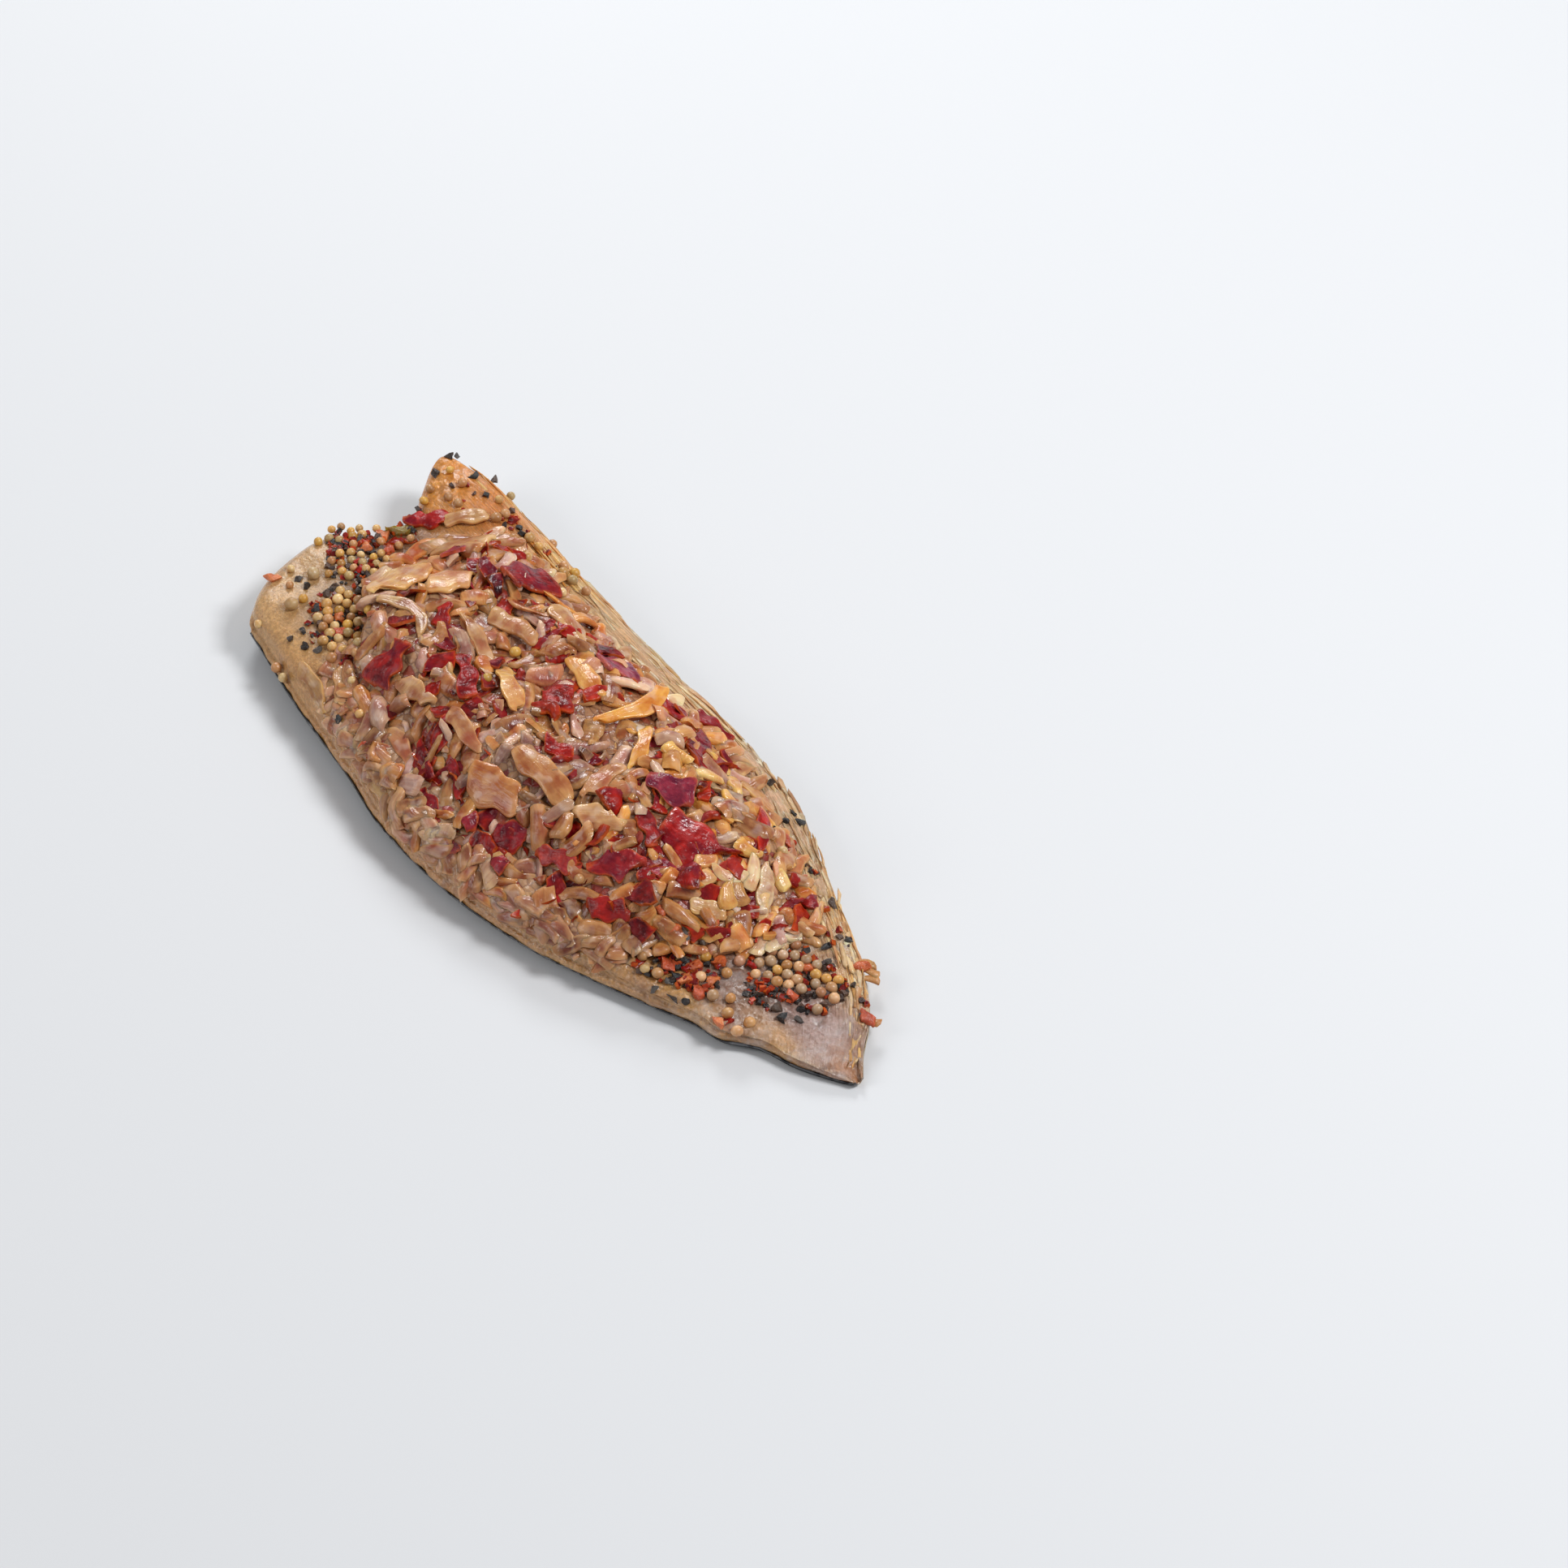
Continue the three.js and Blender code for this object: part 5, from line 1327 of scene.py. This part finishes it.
def anyTurn(rng):
    return Matrix.Rotation(rng.uniform(0, 6.28), 3, "Z") @ Matrix.Rotation(rng.uniform(-1.2, 1.2), 3, "X")


bits = {  # radius or size in mm; flat and slim are shares of the size, curl and toss how uneven each lies
    "mustard_seeds": {
        "radius": spice["seedRadius"], "vary": 0.16,
        "body": {"Roughness": 0.0003, "Grain": 260.0, "Crease": 3.2},
        "tints": [(238, 196, 128), (230, 182, 104), (244, 214, 158), (208, 160, 108), (234, 188, 90), (204, 176, 122),
                  (222, 170, 118)],
    },
    "peppercorns": {
        "radius": 1.9, "vary": 0.1, "body": {"Roughness": 0.0005, "Grain": 500.0, "Crease": 3.2},
        "tints": [(230, 200, 152)],
    },
    "dark_crumbs": {
        "size": (0.7, 1.7), "body": {"Roundness": 0.3, "Roughness": 0.0009, "Grain": 900.0, "Crease": 1.0},
        "tints": [(26, 22, 22), (58, 36, 28), (40, 30, 26), (88, 60, 44)],
    },
    "red_crumbs": {
        "size": (0.7, 1.7), "body": {"Roundness": 0.3, "Roughness": 0.0009, "Grain": 900.0, "Crease": 1.0},
        "tints": [(138, 24, 14), (110, 20, 16), (190, 84, 34), (168, 44, 20)],
    },
    "cracked_pepper": {
        "size": 2.6 * 0.74, "flat": 0.55, "slim": 0.8, "curl": 0.1, "toss": 0.8,
        "body": {"Roundness": 0.6, "Roughness": 0.0019, "Grain": 700.0, "Crease": 1.0},
        "tints": [(36, 31, 30), (58, 44, 36), (26, 23, 24), (82, 60, 46), (88, 80, 74)],
    },
    "carrot_bits": {
        "size": 3.6 * 0.85, "flat": 0.5, "slim": 0.74, "curl": 0.0, "toss": 0.35,
        "body": {"Roundness": 0.42, "Roughness": 0.0022, "Grain": 620.0, "Crease": 1.4},
        "tints": [(222, 128, 72), (212, 108, 56), (202, 92, 54)],
    },
    "olive_bits": {
        "size": 5.6, "flat": 0.32, "slim": 0.5, "curl": 0.05, "toss": 0.1,
        "body": {"Roundness": 0.4, "Roughness": 0.002, "Grain": 500.0, "Crease": 1.6},
        "tints": [(140, 118, 42)],
    },
    "chilli_bits": {
        "flat": 0.34, "slim": 0.72, "curl": 0.12, "toss": 0.3,
        "body": {"Roundness": 0.4, "Roughness": 0.0028, "Grain": 620.0, "Crease": 1.6},
        "tints": [(170, 30, 16), (150, 18, 16), (188, 56, 24), (138, 40, 26)],
    },
}


def ballSpots(points, look, rng):
    spots = []
    for x, y, sink in points:
        # a little smaller at the head, greyer at the tail
        small = 0.84 if x < -78 else 1.0
        size = 2 * look["radius"] * rng.uniform(1 - look["vary"], 1 + 0.3 * look["vary"]) * small
        tint = np.array(look["tints"][rng.integers(len(look["tints"]))]) * rng.uniform(0.92, 1.06)
        tint = tint * ((0.94, 0.91, 1.04) if x > 60 else (0.93, 0.91, 0.88))
        spots.append({
            "place": (x, y, spiceGround(x, y) + look["radius"] * sink), "axes": anyTurn(rng),
            "size": (size, size * rng.uniform(0.93, 1), size * rng.uniform(0.9, 1)),
            "tint": np.clip(tint, 0, 255), "draw": rng.uniform(0, 500),
        })
    return spots


def blockSpots(points, look, rng):
    spots = []
    size, flat, toss = look["size"], look["flat"], look["toss"]
    for x, y, turn in points:
        axes = Matrix.Rotation(turn, 3, "Z") @ Matrix.Rotation(toss * math.sin(5 * y), 3, "Y")
        axes = axes @ Matrix.Rotation(toss * math.sin(3 * x), 3, "X")
        length = size * rng.uniform(0.75, 1.15)
        spots.append({
            "place": (x, y, spiceGround(x, y) + size * flat * 0.28), "axes": axes,
            "size": (length, size * look["slim"] * rng.uniform(0.8, 1.15), size * flat),
            "arch": rng.normal(0, look["curl"]) * size, "cup": rng.normal(0, look["curl"]) * size,
            "slant": rng.normal(0, 0.16) * size, "flare": rng.normal(0, 0.14) * size,
            "tint": look["tints"][rng.integers(len(look["tints"]))], "draw": rng.uniform(0, 500),
        })
    return spots


def chilliSpots(points, look, rng):
    # every bit has a size of its own
    spots = []
    for x, y, size in points:
        spots += blockSpots([(x, y, rng.uniform(0, 6))], {**look, "size": size}, rng)
    return spots


crumbPatches = [  # x, y, reach along, reach across, count; half of them are dark, half red
    (-67, -18, 13, 8, 170), (-53, -23, 8, 4.5, 50), (-82, -4, 10, 8, 220), (-92, 2, 4, 10, 120),
    (-90, 12, 4, 4, 40), (66, 9, 11, 8, 150), (76, 12, 7, 7, 80), (71, 2, 5, 4, 60), (58, -8, 8, 6, 110),
    (52, -15, 6, 3, 36), (-30, -35, 26, 3, 30), (40, 28, 14, 3, 30), (-90, 27, 8, 6, 7),
    (-66, 31, 16, 3, 14), (66, 24, 16, 3, 26), (82, 17, 7, 3, 14),
]


def crumbSpots(seeds, look, rng):
    spots = []
    for midX, midY, reachX, reachY, count in crumbPatches:
        for number in range(int(0.5 * count)):
            angle, away = rng.uniform(0, 2 * math.pi), math.sqrt(rng.random())
            x, y = midX + reachX * away * math.cos(angle), midY + reachY * away * math.sin(angle)
            bare = apart(x, y, 1.15, seeds) and onFillet(x, y, 1)
            if not bare or insideHeap(x, y, -0.5) or underLargeCut(x, y, 0):
                continue
            size = rng.uniform(*look["size"])
            spots.append({
                "place": (x, y, float(fleshTop(x, y)) + 0.22 * size), "axes": anyTurn(rng),
                "size": (size, size * rng.uniform(0.6, 0.9), size * rng.uniform(0.4, 0.7)),
                "tint": look["tints"][rng.integers(len(look["tints"]))], "draw": rng.uniform(0, 500),
            })
    return spots


bitLooks = {  # fine and broad are grains: size, detail, roughness; flecks and shade say where the darker tone goes
    "mustardSeed": {
        "finish": (0.4, 0.3, (1.0, 0.6, 0.3), 0.001, 0.3, 0.22), "fine": (1600, 3, 0.6), "broad": (380, 2, 0.5),
        "dark": (0.74, 0.6, 0.44), "flecks": (0.35, 0.6), "shade": (0.35, 0.6, 0.25, 0), "bump": (0.00015, 0.5),
        "eye": linear(120, 78, 48),
    },
    "driedCarrot": {
        "finish": (0.34, 0.3, (1.0, 0.4, 0.15), 0.002, 0.3, 0.15), "fine": (1300, 3, 0.6),
        "broad": (500, 3, 0.6),
        "dark": (0.68, 0.5, 0.4), "flecks": (0.35, 0.6), "bump": (0.0004, 0.9),
    },
    "fleshStrands": {
        "finish": (0.42, 0.25, (1.0, 0.45, 0.2), 0.0016, 0.3, 0.22), "fine": (1300, 3, 0.6),
        "broad": (320, 2, 0.5),
        "dark": (0.74, 0.58, 0.42), "flecks": (0.34, 0.62), "shade": (0.36, 0.6, 0.4, 0), "bump": (0.0003, 0.7),
    },
    "crackedPepper": {  # black wrinkled husk with a few paler broken places
        "finish": (0.42, 0.0, (1.0, 0.5, 0.3), 0.002, 0.3, 0.25), "fine": (1500, 3, 0.7),
        "broad": (600, 3, 0.6),
        "broken": linear(118, 96, 78), "flecks": (0.6, 0.68, 0, 0.75), "bump": (0.0005, 0.9),
    },
}


def makeBitMaterial(name, look):
    material, tree, shader = newMaterial(name, *look["finish"])
    tint, place = stored(tree, "tint", "Color"), objectPoints(tree)
    fine, broad = grain(tree, place, *look["fine"]), grain(tree, place, *look["broad"])
    flecks = between(tree, broad, *look["flecks"])
    if "broken" in look:
        toned = mixColour(tree, flecks, tint, look["broken"])
    else:
        dark = tinted(tree, tint, look["dark"])
        toned = mixColour(tree, flecks, dark, tint)
    if "shade" in look:
        toned = mixColour(tree, between(tree, fine, *look["shade"]), toned, dark)
    if "eye" in look:
        local = addNode(tree, "ShaderNodeSeparateXYZ", {0: stored(tree, "local", "Vector")})
        toned = mixColour(tree, between(tree, local.outputs[2], 0.965, 0.99, 0, 0.5), toned, look["eye"])
    tree.links.new(toned, shader.inputs["Base Color"])
    setBump(tree, shader, fine, *look["bump"])
    return material


# strands of flesh along the belly edge and frayed ends at the tail
strands = {
    "count": 430, "length": (8.0, 25.0), "width": (0.3, 0.75), "thick": (0.35, 0.6), "reach": 9.0,
    "tints": [(236, 206, 160), (226, 186, 134), (206, 160, 112), (240, 218, 182), (226, 178, 108)],
    "shares": [0.3, 0.28, 0.2, 0.12, 0.1],
    "frayed": [(75.5, 24.6, 50), (77.5, 24.2, 38), (79.4, 23, 62), (76.5, 24.9, 75), (88.6, 17.4, 24)],  # x, y, turn
    "frayedTint": (206, 152, 94),
    "body": {"Roundness": 0.35, "Roughness": 0.0007, "Grain": 420.0, "Crease": 3.2},
}


def strandSpots(look):
    rng = np.random.default_rng(66)
    spots = []
    while len(spots) < look["count"]:
        x = rng.uniform(-90, 97)
        inwards = 0.5 + look["reach"] * rng.random() ** 1.4 * (0.55 if x > 60 else 1.0)
        y = float(curveAt(fish["bellyEdge"], x)) - inwards
        length = rng.uniform(*look["length"]) * (0.7 if abs(x) > 70 else 1.0)
        if insideHeap(x, y, 1.0) or x + 0.5 * length > 99 or (x < -66 and rng.random() < 0.75):
            continue
        slope = edgeSlope(fish["bellyEdge"], x)
        ends = [(x + k * length, y + k * length * slope) for k in (-0.5, 0.5)]
        if any(b > float(curveAt(fish["bellyEdge"], a)) - 0.4 for a, b in ends):
            continue
        edgeTurn = math.degrees(math.atan(slope))
        tint = pickTint(look, rng, 0.9, 1.06)
        if x < -45:
            tint = tint * (1.0, 0.9, 0.7)
        if x > 15:
            tint = tint * ((0.94, 0.94, 0.98) if x < 55 else (1.06, 1.04, 1.04))
        spots.append({
            "place": (x, y, float(fleshTop(x, y)) + rng.uniform(-0.42, -0.24)),
            "axes": localAxes(x, y, edgeTurn + rng.normal(0, 3), rng.normal(0, 5), fleshTop),
            "size": (length, rng.uniform(*look["width"]), rng.uniform(*look["thick"])),
            "arch": rng.normal(0, 0.012) * length, "bend": rng.normal(0, 0.03) * length,
            "slant": rng.normal(0, 0.3), "flare": rng.normal(0, 0.3), "tint": np.clip(tint, 0, 255),
            "draw": rng.uniform(0, 500),
        })
    for x, y, turn in look["frayed"]:
        spots.append({
            "place": (x, y, float(fleshTop(x, y)) - 0.2), "axes": localAxes(x, y, turn, 10, fleshTop),
            "size": (rng.uniform(4, 6), 1.2, 0.6), "arch": rng.normal(0, 0.3), "bend": rng.normal(0, 0.5),
            "flare": 0.5,
            "tint": look["frayedTint"], "draw": rng.uniform(0, 500),
        })
    return spots


# cuts laid on top of the others: x, y, turn, length, width, thick, lift, colour
toppers = {"body": chunkBody, "cuts": [
    (45.5, 2.6, 78, 7.4, 4.0, 1.8, 1.0, (244, 208, 146)),
    (50.6, 7.4, -30, 8.0, 3.2, 1.7, 1.3, (240, 190, 104)),
    (48.4, 14.0, -36, 9.4, 3.0, 1.7, 1.5, (248, 222, 182)),
    (47.4, 9.6, 60, 8.2, 3.0, 1.5, 1.6, (246, 220, 176)),
    (51.6, 19.6, 10, 5.6, 3.4, 1.6, 1.2, (246, 206, 126)),
    (42.6, 6.2, 66, 5.4, 3.4, 1.6, 1.1, (238, 186, 112)),
    (55.0, 12.6, -22, 6.4, 3.2, 1.5, 0.8, (242, 204, 148)),
    (44.0, 16.4, 30, 6.4, 3.0, 1.5, 1.2, (244, 196, 104)),
    (30.0, 20.6, -10, 6.6, 2.8, 1.6, 1.2, (240, 176, 40)),
    (22.4, 20.4, 70, 7.0, 3.6, 1.7, 1.1, (244, 200, 120)),
    (14.6, 17.6, 20, 7.6, 3.4, 1.7, 1.1, (240, 188, 96)),
    (33.6, 26.4, 24, 8.4, 3.0, 1.5, 0.9, (236, 170, 60)),
    (17.0, 26.6, 14, 7.4, 3.4, 1.5, 0.9, (240, 180, 70)),
    (24.6, 25.4, -24, 6.6, 3.2, 1.5, 1.0, (244, 198, 112)),
]}
redToppers = {"body": {"Roundness": 0.08, "Corners": 0.3, "Roughness": 0.0022, "Grain": 420.0, "Crease": 1.0}, "cuts": [
    (-30, 18, 40, 6.0, 4.0, 0.9, 1.0, (178, 22, 12)), (-20, -26, -20, 8.0, 4.4, 0.9, 1.0, (140, 12, 18)),
    (-36, -12, 60, 7.0, 4.6, 0.9, 1.1, (160, 14, 12)), (0, -4, 30, 7.0, 4.0, 0.9, 1.2, (168, 18, 14)),
    (-2, 27, 20, 7.4, 4.2, 0.9, 1.0, (178, 28, 14)), (16, 31, 10, 6.6, 3.6, 0.9, 0.9, (140, 12, 20)),
    (26, 16.6, -30, 5.4, 3.4, 0.9, 1.2, (206, 60, 12)), (-60, 13, 70, 5.6, 4.0, 0.9, 0.9, (176, 24, 14)),
    (-64, 22, 30, 6.0, 3.4, 0.9, 0.8, (196, 58, 20)), (46.6, 12, 10, 6.4, 5.0, 0.9, 0.9, (206, 62, 24)),
    (48.4, 3.8, 40, 5.0, 4.0, 0.9, 0.7, (186, 40, 20)), (-44, 10, -50, 6.0, 4.0, 0.9, 1.0, (186, 40, 12)),
    (40, -6, 56, 6.0, 3.8, 0.9, 0.9, (150, 20, 20)), (-10, 12, 76, 5.6, 3.6, 0.9, 1.0, (196, 50, 16)),
    (8, -28.4, 20, 7.0, 3.4, 0.9, 0.8, (128, 14, 22)), (28, -22.4, -34, 9.0, 4.6, 0.9, 0.9, (150, 18, 26)),
]}


def topperSpots(look):
    rng = np.random.default_rng(17)
    spots = []
    for x, y, turn, length, width, thick, lift, tint in look["cuts"]:
        spots.append(bentCut(
            rng, (x, y, float(bedTop(x, y)) + lift), localAxes(x, y, turn, rng.normal(0, 9), heapTop),
            (length, width, thick), tint, 0.03, 0.07, (0, 0.1), 0.12, 0.08, 0.4))
    return spots


growPieces("top_cuts", chunkTree, topperSpots(toppers), toppers, *ofOnion)
growPieces("top_reds", blockTree, topperSpots(redToppers), redToppers, *ofPepper)
strandTree = makeScatterTree("strands", "block", 7, 3, 3)
ofFlesh = makeBitMaterial("fleshStrands", bitLooks["fleshStrands"])
growPieces("belly_strands", strandTree, strandSpots(strands), strands, ofFlesh, "fillet", "fish")
print("belly strands laid")

seedTree = makeScatterTree("seeds", "ball", 2)
cornTree = makeScatterTree("corns", "ball", 4)
cubeTree = makeScatterTree("cubedBits", "block", 4, 4, 3)
seedSkin, crackedSkin, carrotFlesh = [
    makeBitMaterial(name, bitLooks[name]) for name in ("mustardSeed", "crackedPepper", "driedCarrot")]
places = placeSpice(spice)
draws, darkDraws, redDraws = [np.random.default_rng(seed) for seed in (91, 71, 72)]
for name, tree, laying, points, material, rng in (
        ("mustard_seeds", seedTree, ballSpots, places["seeds"], seedSkin, draws),
        ("peppercorns", cornTree, ballSpots, places["corns"], seedSkin, draws),
        ("dark_crumbs", crumbTree, crumbSpots, places["seeds"], crackedSkin, darkDraws),
        ("red_crumbs", crumbTree, crumbSpots, places["seeds"], pepperFlesh, redDraws),
        ("cracked_pepper", cubeTree, blockSpots, places["flakes"], crackedSkin, draws),
        ("carrot_bits", cubeTree, blockSpots, places["carrots"], carrotFlesh, draws),
        ("olive_bits", blockTree, blockSpots, spice["olive"], carrotFlesh, draws),
        ("chilli_bits", blockTree, chilliSpots, places["chilli"], pepperFlesh, draws)):
    growPieces(name, tree, laying(points, bits[name], rng), bits[name], material, "fillet", "fish")
print("spice placed:", {kind: len(points) for kind, points in places.items()})
